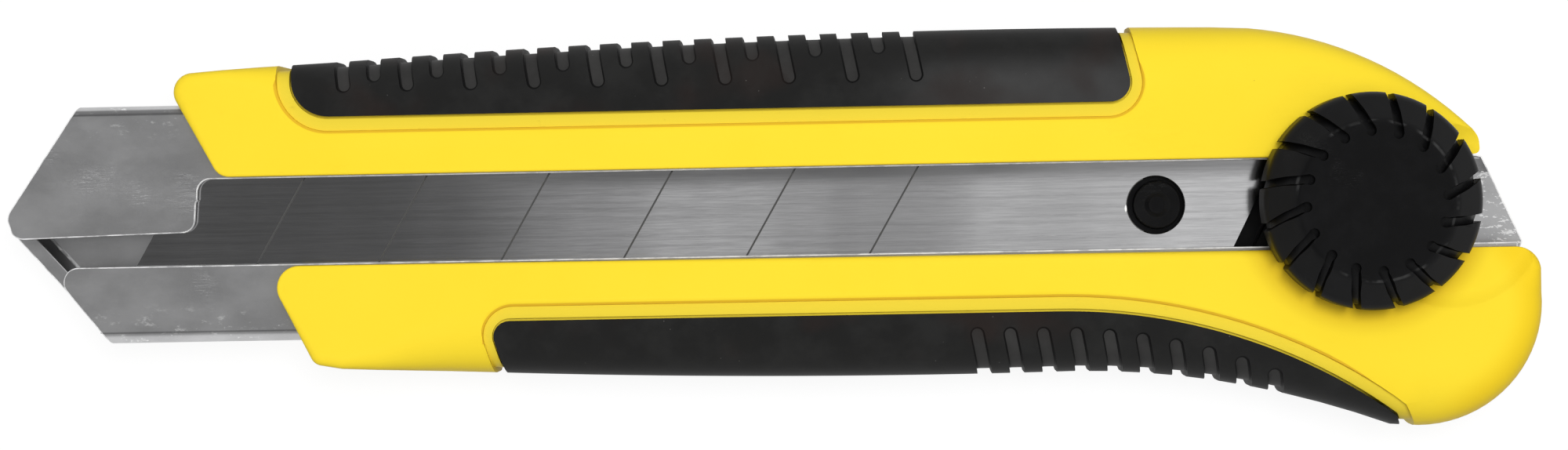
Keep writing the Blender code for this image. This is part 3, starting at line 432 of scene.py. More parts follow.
def spine_outline(full):
    """The bar above the slot, counter-clockwise."""
    front = NOSE_X + 24.5 * MM
    slant = (spine_y(front) - SHELL_SLOT) / math.tan(math.radians(61.7))
    sweep = arc((FALL_X, spine_y(FALL_X) - FALL_RADIUS), FALL_RADIUS, 44, 84, 16)
    edges = [0.8 * MM + 4.1 * MM * (i / (len(sweep) - 1)) ** 0.8 for i in range(len(sweep))]
    edges = [edge * full / (5.5 * MM) for edge in edges]
    top = stations(FALL_X, NOSE_X + 25 * MM, 4 * MM)
    return rounded([(front, SHELL_SLOT, 2.0 * MM, 0.3 * MM),
                    (TAIL_HIGH, SHELL_SLOT, 0.6 * MM, 0.3 * MM),
                    (TAIL_HIGH - 0.1 * MM, SHELL_SLOT + 1.7 * MM, 2.2 * MM, 0.5 * MM),
                    *[(x, y, 0, edge) for (x, y), edge in zip(sweep, edges)],
                    *[(x, spine_y(x), 0, growing(x, NOSE_X + 24 * MM, full)) for x in top],
                    (front - slant, spine_y(front - slant), 2.4 * MM, 1.1 * MM)])


def belly_outline(full):
    """The bar below the slot, with the palm swell at the tail, counter-clockwise."""
    front = NOSE_X + 29.35 * MM
    slant = (belly_y(front) + SHELL_SLOT) / math.tan(math.radians(116.0))
    bottom = stations(NOSE_X + 38 * MM, KNOB_X + 3 * MM, 4 * MM)
    palm = arc(PALM_CENTRE, PALM_RADIUS, -90, 6, 20)
    swell = full + 1 * MM
    edges = [swell * (1 - 0.6 * i / len(palm)) for i in range(len(palm))]
    return rounded([(PALM_CENTRE[0] + PALM_RADIUS - 0.6 * MM, -SHELL_SLOT - 0.3 * MM, 4.0 * MM,
                     1.2 * MM),
                    (front, -SHELL_SLOT, 2.5 * MM, 0.3 * MM),
                    (front + slant, belly_y(front), 1.5 * MM, 1.0 * MM),
                    *[(x, belly_y(x), 0, growing(x, NOSE_X + 37 * MM, full)) for x in bottom],
                    *[(x, y, 0, edge) for (x, y), edge in zip(palm, edges)]])


def spine_grip_outline(grow=0.0):
    """Plan of the upper grip, open past the spine; grow widens it all round."""
    left, right = NOSE_X + 33.2 * MM - grow, KNOB_X - 25.7 * MM + grow
    low = GUIDE_HALF - 1.65 * MM - grow
    high = spine_y(0) + 4 * MM
    return rounded([(left, low, 4.2 * MM + grow), (right, low, 2.2 * MM + grow),
                    (right - 2.6 * MM, high), (left - 1.0 * MM, high)])


def belly_grip_outline(grow=0.0):
    """Plan of the lower grip: a straight edge, then an arc that runs out at the palm."""
    left = NOSE_X + 54.8 * MM - grow
    edge = GRIP_LINE + grow
    low = belly_y(KNOB_X) - 6 * MM
    sweep = arc((SWEEP_X, edge - SWEEP_RADIUS - grow), SWEEP_RADIUS + grow, 90, 53.6, 24)
    end = (KNOB_X + 6.7 * MM + grow, low)
    corners = [(left + 5.0 * MM, low), end, (*sweep[-1], 0.6 * MM)]
    return rounded(corners + sweep[-2::-1] + [(left, edge, 1.8 * MM + grow)])


def belly_grip_edge(x):
    """Y of the lower grip's upper edge at x."""
    past = max(0.0, x - SWEEP_X)
    return GRIP_LINE - SWEEP_RADIUS + math.sqrt(SWEEP_RADIUS ** 2 - past ** 2)


def inward(outline):
    """Unit inward normal at each point of a counter-clockwise outline."""
    flat = [Vector(p[:2]) for p in outline]
    normals = []
    for i, here in enumerate(flat):
        along = (here - flat[i - 1]).normalized() + (flat[(i + 1) % len(flat)] - here).normalized()
        normals.append(Vector((-along.y, along.x)).normalized())
    return normals


def pillow(name, outline, inset=0.0, face_inset=0.0, normals=None, steps=10):
    """A plate with rounded edges: a bar of the handle, or a core inside it."""
    low, high = face_inset, DEPTH - face_inset
    normals = normals or inward(outline)
    loops = []
    for side in (-1, 1):
        for k in range(steps + 1):
            angle = math.pi / 2 * (k if side == 1 else steps - k) / steps
            loop = []
            for (x, y, edge), normal in zip(outline, normals):
                edge = max(edge - inset, 0.2 * MM)
                back = inset + REACH * edge * (1 - math.cos(angle) ** FULLNESS)
                drop = edge * (1 - math.sin(angle) ** FULLNESS)
                z = high - drop if side == 1 else low + drop
                loop.append((x + normal.x * back, y + normal.y * back, z))
            loops.append(loop)
    return loft(name, loops)


def core(outline, inset, face_inset):
    """What is left inside a bar under a skin of the given thickness, along its grip."""
    start, end = NOSE_X + 26.5 * MM, KNOB_X + 12.5 * MM
    run = [(p, n) for p, n in zip(outline, inward(outline))
           if start < p[0] < end and abs(p[1]) > GUIDE_HALF]
    points, normals = [p for p, n in run], [n for p, n in run]
    middle = math.copysign(SHELL_SLOT, points[0][1])
    points += [(points[-1][0], middle, 0.3 * MM), (points[0][0], middle, 0.3 * MM)]
    still = Vector((0.0, 0.0))
    return pillow("core", points, inset, face_inset, normals + [still, still])


# --- shader nodes ---------------------------------------------------------------------
class Wire:
    """A socket that sums and products can be written with."""

    def __init__(self, graph, socket):
        self.graph, self.socket = graph, socket

    def math(self, operation, a, b=0):
        return self.graph.node("ShaderNodeMath", {"operation": operation}, {0: a, 1: b})

    def __add__(self, other):
        return self.math("ADD", self, other)

    def __sub__(self, other):
        return self.math("SUBTRACT", self, other)

    def __mul__(self, other):
        return self.math("MULTIPLY", self, other)

    def __rsub__(self, other):
        return self.math("SUBTRACT", other, self)

    def __gt__(self, other):
        return self.math("GREATER_THAN", self, other)

    def __lt__(self, other):
        return self.math("LESS_THAN", self, other)

    __radd__ = __add__
    __rmul__ = __mul__

    def over(self, low, high):
        """0 below low, 1 above high, smooth between."""
        return self.graph.node("ShaderNodeMapRange", {"interpolation_type": "SMOOTHSTEP"},
                               {"Value": self, "From Min": low, "From Max": high})

    def within(self, full, gone):
        """1 within full of zero on either side, 0 beyond gone, smooth between."""
        return 1 - self.math("ABSOLUTE", self).over(full, gone)


class Graph:
    """A shader tree that nodes are added to."""

    def __init__(self, tree):
        self.tree = tree

    def node(self, kind, settings=None, values=None, output=0):
        """A node of a type, its settings first, then the values or links of its sockets."""
        node = self.tree.nodes.new(kind)
        for key, value in (settings or {}).items():
            setattr(node, key, value)
        for key, value in (values or {}).items():
            self.feed(node.inputs[key], value)
        return Wire(self, node.outputs[output])

    def feed(self, socket, value):
        if isinstance(value, Wire):
            self.tree.links.new(value.socket, socket)
        elif socket.type == "RGBA":
            socket.default_value = (*value, 1.0)
        else:
            socket.default_value = value

    def mix(self, amount, a, b):
        """Mix of two colours."""
        return self.node("ShaderNodeMix", {"data_type": "RGBA"}, {0: amount, 6: a, 7: b}, 2)


class Finish(Graph):
    """One material: its principled shader and the nodes that feed it."""

    def __init__(self, name, colour, **constants):
        self.colour = colour
        self.material = bpy.data.materials.new(name)
        self.material.use_nodes = True
        super().__init__(self.material.node_tree)
        self.shader = self.tree.nodes["Principled BSDF"]
        self.set(**constants)

    def set(self, **values):
        for key, value in values.items():
            name = key.replace("_", " ").title().replace("Ior", "IOR")
            self.feed(self.shader.inputs[name], value)

    def coat(self, amount, colour):
        """Lay this much of a colour over the base colour so far."""
        self.colour = self.mix(amount, self.colour, colour)

    def place(self, stretch=(1, 1, 1), turn=(0, 0, 0), shift=(0, 0, 0)):
        """Object coordinates, stretched, turned and shifted."""
        where = self.node("ShaderNodeTexCoord", output="Object")
        return self.node("ShaderNodeMapping", {"vector_type": "POINT"},
                         {"Vector": where, "Scale": stretch, "Rotation": turn,
                          "Location": shift})

    def noise(self, size, detail=3.0, rough=0.5, **placing):
        """Noise with cells of about this size in metres."""
        return self.node("ShaderNodeTexNoise", None,
                         {"Vector": self.place(**placing), "Scale": 1 / size,
                          "Detail": detail, "Roughness": rough}, "Fac")

    def cells(self, size, output):
        return self.node("ShaderNodeTexVoronoi", None,
                         {"Vector": self.place(), "Scale": 1 / size}, output)

    def bump(self, height, distance, strength):
        """A bump of this distance in metres."""
        return self.node("ShaderNodeBump", None,
                         {"Height": height, "Distance": distance, "Strength": strength})

    def attribute(self, name):
        """A mark that the piece's own faces carry."""
        return self.node("ShaderNodeAttribute", {"attribute_name": name}, None, "Fac")

    def axis(self, name):
        where = self.node("ShaderNodeTexCoord", output="Object")
        return self.node("ShaderNodeSeparateXYZ", None, {0: where}, name)

    def reach(self, east, north):
        """Distance, from its two parts."""
        total = east * east + north * north
        return total.math("SQRT", total)

    def specks(self, size, reach, share):
        """Round specks: cells of this size, a few of them lit, each small in its cell."""
        near = self.cells(size, "Distance")
        lot = self.cells(size, "Color")
        chance = self.node("ShaderNodeSeparateColor", None, {0: lot})
        return (1 - near.over(reach * 0.5, reach)) * (chance < share)

    def scratches(self, size, length, turn, share):
        """Hairlines of this spacing and length, on some of the surface."""
        lines = self.noise(size, 2.0, 0.6, stretch=(size / length, 1, 1), turn=(0, 0, turn))
        patch = self.noise(9 * MM, 2.0)
        return (lines - 0.5).within(0.0, 0.012) * patch.over(1 - share, 1.1 - share)


def shade(colour, factor):
    return tuple(min(1.0, c * factor) for c in colour)


def shell_plastic(colours):
    """Satin moulded plastic: fine spark texture, rubbed dirt, a few dark specks, and painted shade
    round the grips, over the palm and under the knob.
    """
    yellow = tuple(colours.shell)
    f = Finish("yellow_plastic", yellow, specular_ior_level=0.13)
    cloud = f.noise(14 * MM, 3.0, 0.55)
    f.coat(cloud.over(0.35, 0.7) * 0.35,
                   (yellow[0] * 0.97, yellow[1] * 0.955, yellow[2] * 0.8))
    # painted shade with a little dirt: the lowered band round each grip is darker and greener, and
    # its outer shoulder orange-brown
    band = f.attribute("lowered")
    crease = f.attribute("crease") - band
    f.coat(band * 0.8, (yellow[0] * 0.84, yellow[1] * 0.88, yellow[2] * 1.5))
    f.coat(crease * 0.55, (0.72, 0.33, 0.02))
    rubbed = f.noise(2.2 * MM, 4.0, 0.7)
    f.coat(rubbed.over(0.62, 0.8) * (band * 0.35 + 0.05), (0.50, 0.33, 0.03))
    dark = f.specks(6 * MM, 0.022, 0.14)
    f.coat(dark * 0.65, (0.22, 0.12, 0.02))
    # painted shade: deeper yellow where the palm rolls over, and a painted shadow under the rim of
    # the knob
    x, y = f.axis("X"), f.axis("Y")
    palm = f.reach(x - PALM_CENTRE[0], y - PALM_CENTRE[1]).over(PALM_RADIUS - 4.8 * MM,
                                                                 PALM_RADIUS - 1.6 * MM)
    tail = x.over(KNOB_X + 6 * MM, KNOB_X + 13 * MM) * (y < -SHELL_SLOT)
    f.coat(palm * tail * 0.62, (0.93, 0.62, 0.012))
    # painted shadow of the knob: darker golden below it, fading out upwards
    knob_shadow = 1 - f.reach(x - KNOB_X, y).over(12.4 * MM, 15.6 * MM)
    f.coat(knob_shadow * (1 - y.over(-3 * MM, 7 * MM)) * 0.60, (0.66, 0.40, 0.012))
    grain = f.noise(0.16 * MM, 2.0, 0.6)
    hair = f.scratches(0.25 * MM, 6 * MM, 0.3, 0.44)
    f.set(base_color=f.colour, roughness=0.40 + cloud * 0.08 + rubbed * 0.06 + hair * 0.08,
          normal=f.bump(grain + hair * 0.6, 0.012 * MM, 0.6))
    return f.material


def soft_rubber(colours):
    """Black grip rubber with a slight bloom and caught dust, a painted sheen, and painted shade in
    its notches.
    """
    black = tuple(colours.rubber)
    f = Finish("grip_rubber", black, specular_ior_level=0.17)
    bloom = f.noise(5 * MM, 4.0, 0.6)
    f.coat(bloom.over(0.38, 0.72) * 0.8, shade(black, 2.0))
    x, y = f.axis("X"), f.axis("Y")
    # painted sheen: a lighter patch low on the upper grip, along its smooth stretch towards the
    # tail
    painted_sheen = x.over(8 * MM, 26 * MM) * (1 - x.over(36 * MM, 52 * MM)) * y.over(0.0, GUIDE_HALF) \
        * (1 - y.over(GUIDE_HALF + 1 * MM, GUIDE_HALF + 5 * MM))
    f.coat(painted_sheen * (bloom * 0.6 + 0.5), (0.050, 0.050, 0.050))
    # painted shade in the notches, and a painted sheen on their floors
    notch, floor = f.attribute("notch"), f.attribute("notch_floor")
    f.coat(notch, shade(black, 0.2))
    f.coat(floor * (bloom * 0.9 + 0.2), (0.050, 0.049, 0.048))
    brown = f.noise(9 * MM, 2.0, 0.5, shift=(0.3, 0.1, 0))
    f.coat(brown.over(0.52, 0.75) * 0.5, (0.020, 0.012, 0.010))
    dust = f.specks(1.5 * MM, 0.085, 0.06) + f.specks(0.7 * MM, 0.10, 0.05) * 0.5
    f.coat(dust * bloom.over(0.35, 0.6), (0.20, 0.19, 0.18))
    grain = f.noise(0.12 * MM, 3.0, 0.65)
    f.set(base_color=f.colour, roughness=0.52 + bloom * 0.16 + dust * 0.2,
          normal=f.bump(grain + dust * 0.5, 0.016 * MM, 0.7))
    return f.material


def knob_plastic(colours):
    """Hard black plastic, finely sparked, with scuffs, dust and a painted highlight round the rim
    of the disc.
    """
    black = tuple(colours.knob)
    f = Finish("knob_plastic", black, specular_ior_level=0.13)
    cloud = f.noise(3.5 * MM, 4.0, 0.6)
    f.coat(cloud.over(0.4, 0.75) * 0.8, shade(black, 2.2))
    dust = f.specks(1.3 * MM, 0.09, 0.05)
    scuff = f.scratches(0.2 * MM, 2 * MM, 0.9, 0.42)
    f.coat(dust * 0.8 + scuff * 0.25, (0.16, 0.16, 0.16))
    # painted highlight: pale broken arcs along the rim of the disc
    east, north = f.axis("X") - KNOB_X, f.axis("Y")
    rim_highlight = (f.reach(east, north) - (DISC_R - 0.15 * MM)).within(0.06 * MM, 0.24 * MM)
    patchy = f.noise(3.0 * MM, 3.0, 0.6, shift=(0.1, 0.2, 0)).over(0.46, 0.62)
    f.coat(rim_highlight * patchy * 0.8, (0.045, 0.045, 0.045))
    grain = f.noise(0.10 * MM, 3.0, 0.6)
    f.set(base_color=f.colour, roughness=0.36 + cloud * 0.14,
          normal=f.bump(grain + scuff * 0.5, 0.012 * MM, 0.7))
    return f.material


def guide_steel(colours):
    """Stamped steel sheet: a dull rolled face with light scuffs and bright hairlines, painted
    highlights on its edges and painted dark reflections along its bends.
    """
    grey = tuple(colours.guide)
    f = Finish("nose_steel", shade(grey, 0.90), metallic=1.0)
    cloud = f.noise(7 * MM, 5.0, 0.6, stretch=(0.7, 1.2, 1))
    fine = f.noise(0.22 * MM, 3.0, 0.7)
    f.coat(cloud.over(0.35, 0.7), shade(grey, 1.14))
    f.coat(fine * 0.30, shade(grey, 1.35))
    x, y = f.axis("X"), f.axis("Y")
    worn = f.noise(1.3 * MM, 5.0, 0.75, stretch=(0.5, 1, 1))
    near_bend = y.math("ABSOLUTE", y).over(9.0 * MM, 11.3 * MM)
    rubbed = x.over(KNOB_X + 10 * MM, KNOB_X + 15 * MM)
    # darker above y = 3 mm at the tail end of the guide; the scuffs below gather on the same tail
    # end
    f.coat((y > 3.0 * MM) * rubbed * 0.8, shade(grey, 0.22))
    scuffs = f.noise(0.45 * MM, 4.0, 0.7, turn=(0, 0, 0.9), stretch=(0.4, 1, 1))
    f.coat(worn.over(0.55, 0.68) * (near_bend * 0.75 + 0.06)
           + scuffs.over(0.56, 0.62) * rubbed, WHITE)
    # painted dark reflection along the upper bend, and a fainter, thinner one where the lower bend
    # meets the face
    line = (y - (GUIDE_HALF - 0.75 * MM)).within(0.2 * MM, 0.42 * MM)
    thin = (y - (GUIDE_LOW + 1.2 * MM)).within(0.04 * MM, 0.14 * MM)
    f.coat(line * 0.75 + thin * 0.5, shade(grey, 0.16))
    hair = f.scratches(0.16 * MM, 3 * MM, 0.5, 0.40)
    dot = f.specks(3 * MM, 0.035, 0.10)
    f.coat(hair * 0.25 + dot * 0.8, shade(grey, 2.3))
    # painted highlight on the rounded sheet edges, broken by noise and made less metallic so that
    # it stays pale
    rim_highlight = f.attribute("rim_highlight")
    rim_highlight = rim_highlight * (f.noise(1.8 * MM, 3.0, 0.6).over(0.35, 0.60) * 0.7 + 0.3)
    f.coat(rim_highlight, (0.95, 0.95, 0.95))
    f.set(base_color=f.colour, metallic=1 - rim_highlight * 0.6,
          roughness=0.30 + cloud * 0.08 + fine * 0.06 - hair * 0.05,
          normal=f.bump(fine * 0.5 + hair * 0.4 + cloud * 0.8, 0.010 * MM, 0.6))
    return f.material


def blade_steel(colours):
    """Ground blade steel, brushed along its length, with painted shade and a painted dark
    reflection.
    """
    grey = tuple(colours.blade)
    f = Finish("ground_steel", shade(grey, 0.88), metallic=1.0)
    brush = f.noise(0.16 * MM, 3.0, 0.7, stretch=(0.035, 1, 1))
    long = f.noise(0.5 * MM, 3.0, 0.6, stretch=(0.02, 1, 1), shift=(0.2, 0, 0))
    bands = f.noise(13 * MM, 2.0, 0.5, stretch=(1, 0.15, 0.15), shift=(0.05, 0, 0))
    f.coat(bands.over(0.35, 0.65), shade(grey, 1.10))
    streak = brush.over(0.35, 0.7) * 0.6 + long.over(0.4, 0.7) * 0.5
    f.coat(streak * 0.55, shade(grey, 0.46))
    gleam = brush.over(0.58, 0.74) * long.over(0.42, 0.62)
    f.coat(gleam * 0.75, WHITE)
    dot = f.specks(4 * MM, 0.028, 0.10)
    f.coat(dot * 0.6, shade(grey, 0.5))
    x, y = f.axis("X"), f.axis("Y")
    # painted shadow of the guide's upper lip along the top of the blade
    lip_shadow = y.over(2.4 * MM, 4.6 * MM) * (1 - y.over(5.2 * MM, 6.2 * MM)) \
        * x.over(BLADE_MIN.x + 40 * MM, BLADE_MIN.x + 62 * MM) * (bands * 0.6 + 0.35)
    f.coat(lip_shadow * 1.2, shade(grey, 0.26))
    # painted dark reflection over the front of the blade, fading out towards the tail
    dark_reflection = 1 - x.over(BLADE_MIN.x + 38 * MM, BLADE_MIN.x + 60 * MM)
    f.coat(dark_reflection * 0.34, shade(grey, 0.22))
    # painted shade on the walls of the snap-off grooves, which are also made less metallic and
    # rougher below
    score = f.attribute("score")
    f.coat(score, (0.16, 0.16, 0.16))
    east, north = x - (KNOB_X - 26.75 * MM), y + 0.35 * MM
    glint = 1 - f.reach(east * 3, north).over(0.25 * MM, 0.5 * MM)
    f.coat(glint, WHITE)
    f.set(base_color=f.colour, metallic=1 - score * 0.75 - glint,
          roughness=0.09 + brush * 0.06 + score * 0.4,
          normal=f.bump(brush + long * 0.5, 0.002 * MM, 0.4))
    return f.material


def zinc_plate(colours):
    """Dull bright plating with fine turning marks and a little tarnish."""
    grey = tuple(colours.zinc)
    f = Finish("zinc_plate", grey, metallic=1.0)
    tarnish = f.noise(1.1 * MM, 4.0, 0.65)
    fine = f.noise(0.09 * MM, 2.0, 0.6)
    f.coat(tarnish.over(0.4, 0.7), (grey[0] * 0.66, grey[1] * 0.64, grey[2] * 0.58))
    f.set(base_color=f.colour, roughness=0.28 + tarnish * 0.18,
          normal=f.bump(fine, 0.006 * MM, 0.6))
    return f.material


def turned_brass(colours):
    """Machined brass, lightly browned."""
    gold = tuple(colours.brass)
    f = Finish("turned_brass", gold, metallic=1.0)
    brown = f.noise(0.9 * MM, 4.0, 0.6)
    fine = f.noise(0.12 * MM, 2.0, 0.6, stretch=(1, 1, 4))
    f.coat(brown.over(0.42, 0.72), shade(gold, 0.6))
    f.set(base_color=f.colour, roughness=0.26 + brown * 0.2,
          normal=f.bump(fine, 0.008 * MM, 0.6))
    return f.material


MAKERS = {"yellow_plastic": shell_plastic, "grip_rubber": soft_rubber,
          "knob_plastic": knob_plastic, "nose_steel": guide_steel,
          "ground_steel": blade_steel, "zinc_plate": zinc_plate,
          "turned_brass": turned_brass}
SHELL, RUBBER, KNOB_BLACK, GUIDE_GREY, BLADE_GREY, ZINC, BRASS = MAKERS


def finish_of(name):
    """The finish of this name, made the first time that it is asked for."""
    found = bpy.data.materials.get(name)
    return found or MAKERS[name](bpy.context.scene.knife_colours)


def finish_solids(finish_name, *nodes):
    """Give solids whose shape is already right their finish."""
    for node in nodes:
        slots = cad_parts[node].data.materials
        slots.clear()
        slots.append(finish_of(finish_name))


# --- handle ---------------------------------------------------------------------------
def grip_bed(bar, outline, plan, sizes):
    """Lower a band with a soft shoulder round a grip, and sink the grip's own pocket."""
    levels = [(z * MM, grow) for z, grow in SHOULDER]
    levels += [(DEPTH - z * MM, grow) for z, grow in reversed(SHOULDER)]
    loops = [[(p[0], p[1], z) for p in plan(sizes.border_width + grow * MM)]
             for z, grow in levels]
    border = loft("border", loops)
    cut(border, core(outline, sizes.border_depth, sizes.border_depth))
    pocket = prism("pocket", plan(CLEAR), -PAST, DEPTH + PAST)
    cut(pocket, core(outline, GRIP_THICKNESS + CLEAR, GRIP_FACE + CLEAR))
    return cut(bar, border, pocket)


def guide_room():
    """The room that the steel guide slides into from the nose."""
    far = NOSE_X - 10 * MM
    high, low = GUIDE_HALF + CLEAR, GUIDE_LOW - CLEAR
    outline = [(far, low), (TAIL_LOW - 2.5 * MM, low),
               (TAIL_LOW + 1.2 * MM, -SLOT_HALF - CLEAR), (TAIL_LOW + 10 * MM, -SHELL_SLOT),
               (TAIL_LOW + 10 * MM, SHELL_SLOT), (TAIL_HIGH - 0.4 * MM, SHELL_SLOT + CLEAR),
               (KNOB_X - 1.4 * MM, high), (far, high)]
    return prism("room", outline, POCKET_BOTTOM, POCKET_TOP)


def cover_outline(grow=0.0):
    """Plan of the back cover, with a lobe that reaches into the palm swell."""
    h = COVER_HALF
    corners = [(COVER_MIN.x, h, 3 * MM), (COVER_MIN.x, -h, 3 * MM),
               (PALM_X + 8 * MM, -h, 10 * MM), (KNOB_X + 3.5 * MM, -h - 8 * MM, 3 * MM),
               (KNOB_X + 12.5 * MM, -h - 7.5 * MM, 4 * MM),
               (KNOB_X + 14 * MM, -4 * MM, 4 * MM), (KNOB_X + 5.5 * MM, h, 5 * MM)]
    outline = rounded(corners)
    return [(x - n.x * grow, y - n.y * grow) for (x, y, _), n in zip(outline, inward(outline))]


class KNIFE_OT_handle(bpy.types.Operator):
    """Moulded handle: two rounded bars on a web, with beds for the grips and the guide"""
    bl_idname = "knife.handle"
    bl_label = "Handle"

    def execute(self, context):
        sizes = context.scene.knife_sizes
        spine, belly = spine_outline(sizes.edge_round), belly_outline(sizes.edge_round)
        handle = grip_bed(pillow("handle_shell", spine), spine, spine_grip_outline, sizes)
        lower = grip_bed(pillow("belly", belly), belly, belly_grip_outline, sizes)
        edge = SHELL_SLOT + 1.5 * MM
        web = [(NOSE_X + 25.6 * MM, edge), (NOSE_X + 31.8 * MM, -edge),
               (TAIL_LOW - 0.2 * MM, -edge), (TAIL_HIGH - 0.2 * MM, edge)]
        add(handle, lower, prism("web", web, 0.0, POCKET_BOTTOM))
        seat = COVER_MAX.z + CLEAR
        cut(handle, guide_room(), prism("rebate", cover_outline(CLEAR), -PAST, seat))
        rings = [[(*p, DEPTH + z * MM) for p in arc(DISH_CENTRE, r * MM, 0, 360, 120)[:-1]]
                 for z, r in DISH_RIM]
        cut(handle, loft("dish", rings))
        tidy(handle)
        for name, wide in (("lowered", 0.04 * MM), ("crease", 0.38 * MM)):
            mark_inside(handle, name, [spine_grip_outline(sizes.border_width + wide),
                                       belly_grip_outline(sizes.border_width + wide)])
        dress(handle, finish_of(SHELL), "handle", "handle_body")
        return {"FINISHED"}


class KNIFE_OT_cover(bpy.types.Operator):
    """Back cover with its six countersunk cross-head screws"""
    bl_idname = "knife.cover"
    bl_label = "Back cover and screws"

    def execute(self, context):
        top = COVER_MAX.z
        loops = [[(*p, z) for p in cover_outline(grow)]
                 for z, grow in ((0.0, -0.22 * MM), (0.06 * MM, -0.07 * MM),
                                 (0.22 * MM, 0.0), (top, 0.0))]
        cover = loft("cover_plate", loops)
        screws = sorted(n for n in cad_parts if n.startswith("cover_screw"))
        places = [sum(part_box(n), Vector()) / 2 for n in screws]
        head = (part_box(screws[0])[1].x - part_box(screws[0])[0].x) / 2
        bore, floor = head + CLEAR, 1.2 * MM
        profile = [(0, -PAST), (bore + 1.2 * MM, -PAST), (bore + 0.2 * MM, 0.0),
                   (bore, 0.2 * MM), (bore, floor), (0.6 * head, floor), (0.6 * head, 3 * MM),
                   (0, 3 * MM)]
        for place in places:
            cut(cover, spun("bore", profile, place[:2], 40))
        dress(tidy(cover), finish_of(SHELL), "handle", "back_cover")

        x, y = places[0][:2]
        dome = [(head * math.sin(a), 1.0 * MM - 0.8 * MM * math.cos(a))
                for a in (math.pi / 2 * i / 8 for i in range(9))]
        screw = spun("cover_screw_head_1", dome + [(head, 1.1 * MM), (0, 1.1 * MM)], (x, y), 40)
        for turn in (0, 1):
            arm, slim = 1.3 * MM, 0.32 * MM
            sides = [(arm, slim), (arm * 0.7, slim * 0.7)]
            loops = []
            for (a, b), z in zip(sides, (-0.5 * MM, 0.85 * MM)):
                a, b = (a, b) if turn == 0 else (b, a)
                loops.append([(x - a, y - b, z), (x + a, y - b, z), (x + a, y + b, z),
                              (x - a, y + b, z)])
            cut(screw, loft("cross", loops))
        soften(tidy(screw), 0.05 * MM)
        copies = [screw]
        for i, place in enumerate(places[1:], 2):
            take(screw)
            bpy.ops.object.duplicate(linked=False)
            bpy.ops.transform.translate(value=place - places[0])
            copy = context.object
            copy.name = f"cover_screw_head_{i}"
            copies.append(copy)
        for copy, node in zip(copies, screws):
            dress(copy, finish_of(ZINC), "handle", node)
        return {"FINISHED"}


# --- grips ----------------------------------------------------------------------------
def stadium(start, end, width):
    """Outline of a slot with round ends."""
    a, b = Vector(start), Vector(end)
    heading = math.degrees(math.atan2(b.y - a.y, b.x - a.x))
    return (arc(a, width / 2, heading + 90, heading + 270, 12)
            + arc(b, width / 2, heading - 90, heading + 90, 12))


def spine_notches(sizes):
    """Long and short notches by turns, over the front two thirds of the upper grip."""
    places, lean = [], math.tan(sizes.notch_lean)
    for k in range(SPINE_NOTCHES):
        x = SPINE_NOTCH_X + SPINE_PITCH * k
        end = GUIDE_HALF + (1.8 * MM if k % 2 == 0 else 2.8 * MM + 0.13 * MM * k)
        top = spine_y(x) + 3 * MM
        places.append(((x - 3 * MM * lean, top), (x + (spine_y(x) - end) * lean, end)))
    return places


def belly_notches(sizes):
    """Finger grooves that follow the edge of the lower grip down to the palm."""
    places, lean = [], math.tan(sizes.notch_lean)
    for k in range(BELLY_NOTCHES):
        x = BELLY_NOTCH_X + BELLY_PITCH * k
        top = belly_grip_edge(x) - 2.4 * MM - 0.05 * MM * k
        low = belly_y(x) - 3 * MM
        places.append(((x, top), (x + (top - low) * lean, low)))
    return places


def notch_tool(outline, notches, width, depth):
    """All the notches of one grip as a cutter of this width and depth."""
    tool = join("notches", [prism("notch", stadium(a, b, width), -PAST, DEPTH + PAST)
                            for a, b in notches])
    return cut(tool, core(outline, depth, depth))


def grip(name, outline, plan, notches, sizes):
    """A skin that wraps the outer edge of one bar, notched on its outside."""
    skin = pillow(name, outline)
    keep(skin, prism("plan", plan(), -PAST, DEPTH + PAST))
    cut(skin, core(outline, GRIP_THICKNESS, GRIP_FACE))
    soften(tidy(cut(skin, notch_tool(outline, notches, sizes.notch_width, sizes.notch_depth))),
           0.16 * MM, 2, 40)
    # a hair deeper inside a narrow border, so that the border keeps the notch's painted shade
    # apart from the floor's painted sheen
    floor = sizes.notch_width - 0.40 * MM
    cut(skin, notch_tool(outline, notches, floor, sizes.notch_depth + 0.015 * MM))
    mark_inside(skin, "notch", [stadium(a, b, sizes.notch_width + 0.1 * MM)
                                for a, b in notches])
    mark_inside(skin, "notch_floor", [stadium(a, b, floor + 0.01 * MM) for a, b in notches])
    return skin


class KNIFE_OT_grips(bpy.types.Operator):
    """Rubber grips over the spine and the belly, with their notches"""
    bl_idname = "knife.grips"
    bl_label = "Grips"

    def execute(self, context):
        sizes = context.scene.knife_sizes
        upper = grip("spine_grip", spine_outline(sizes.edge_round), spine_grip_outline,
                     spine_notches(sizes), sizes)
        dress(upper, finish_of(RUBBER), "handle", "upper_grip", angle=40)
        lower = grip("belly_grip", belly_outline(sizes.edge_round), belly_grip_outline,
                     belly_notches(sizes), sizes)
        dress(lower, finish_of(RUBBER), "handle", "lower_grip", angle=40)
        return {"FINISHED"}


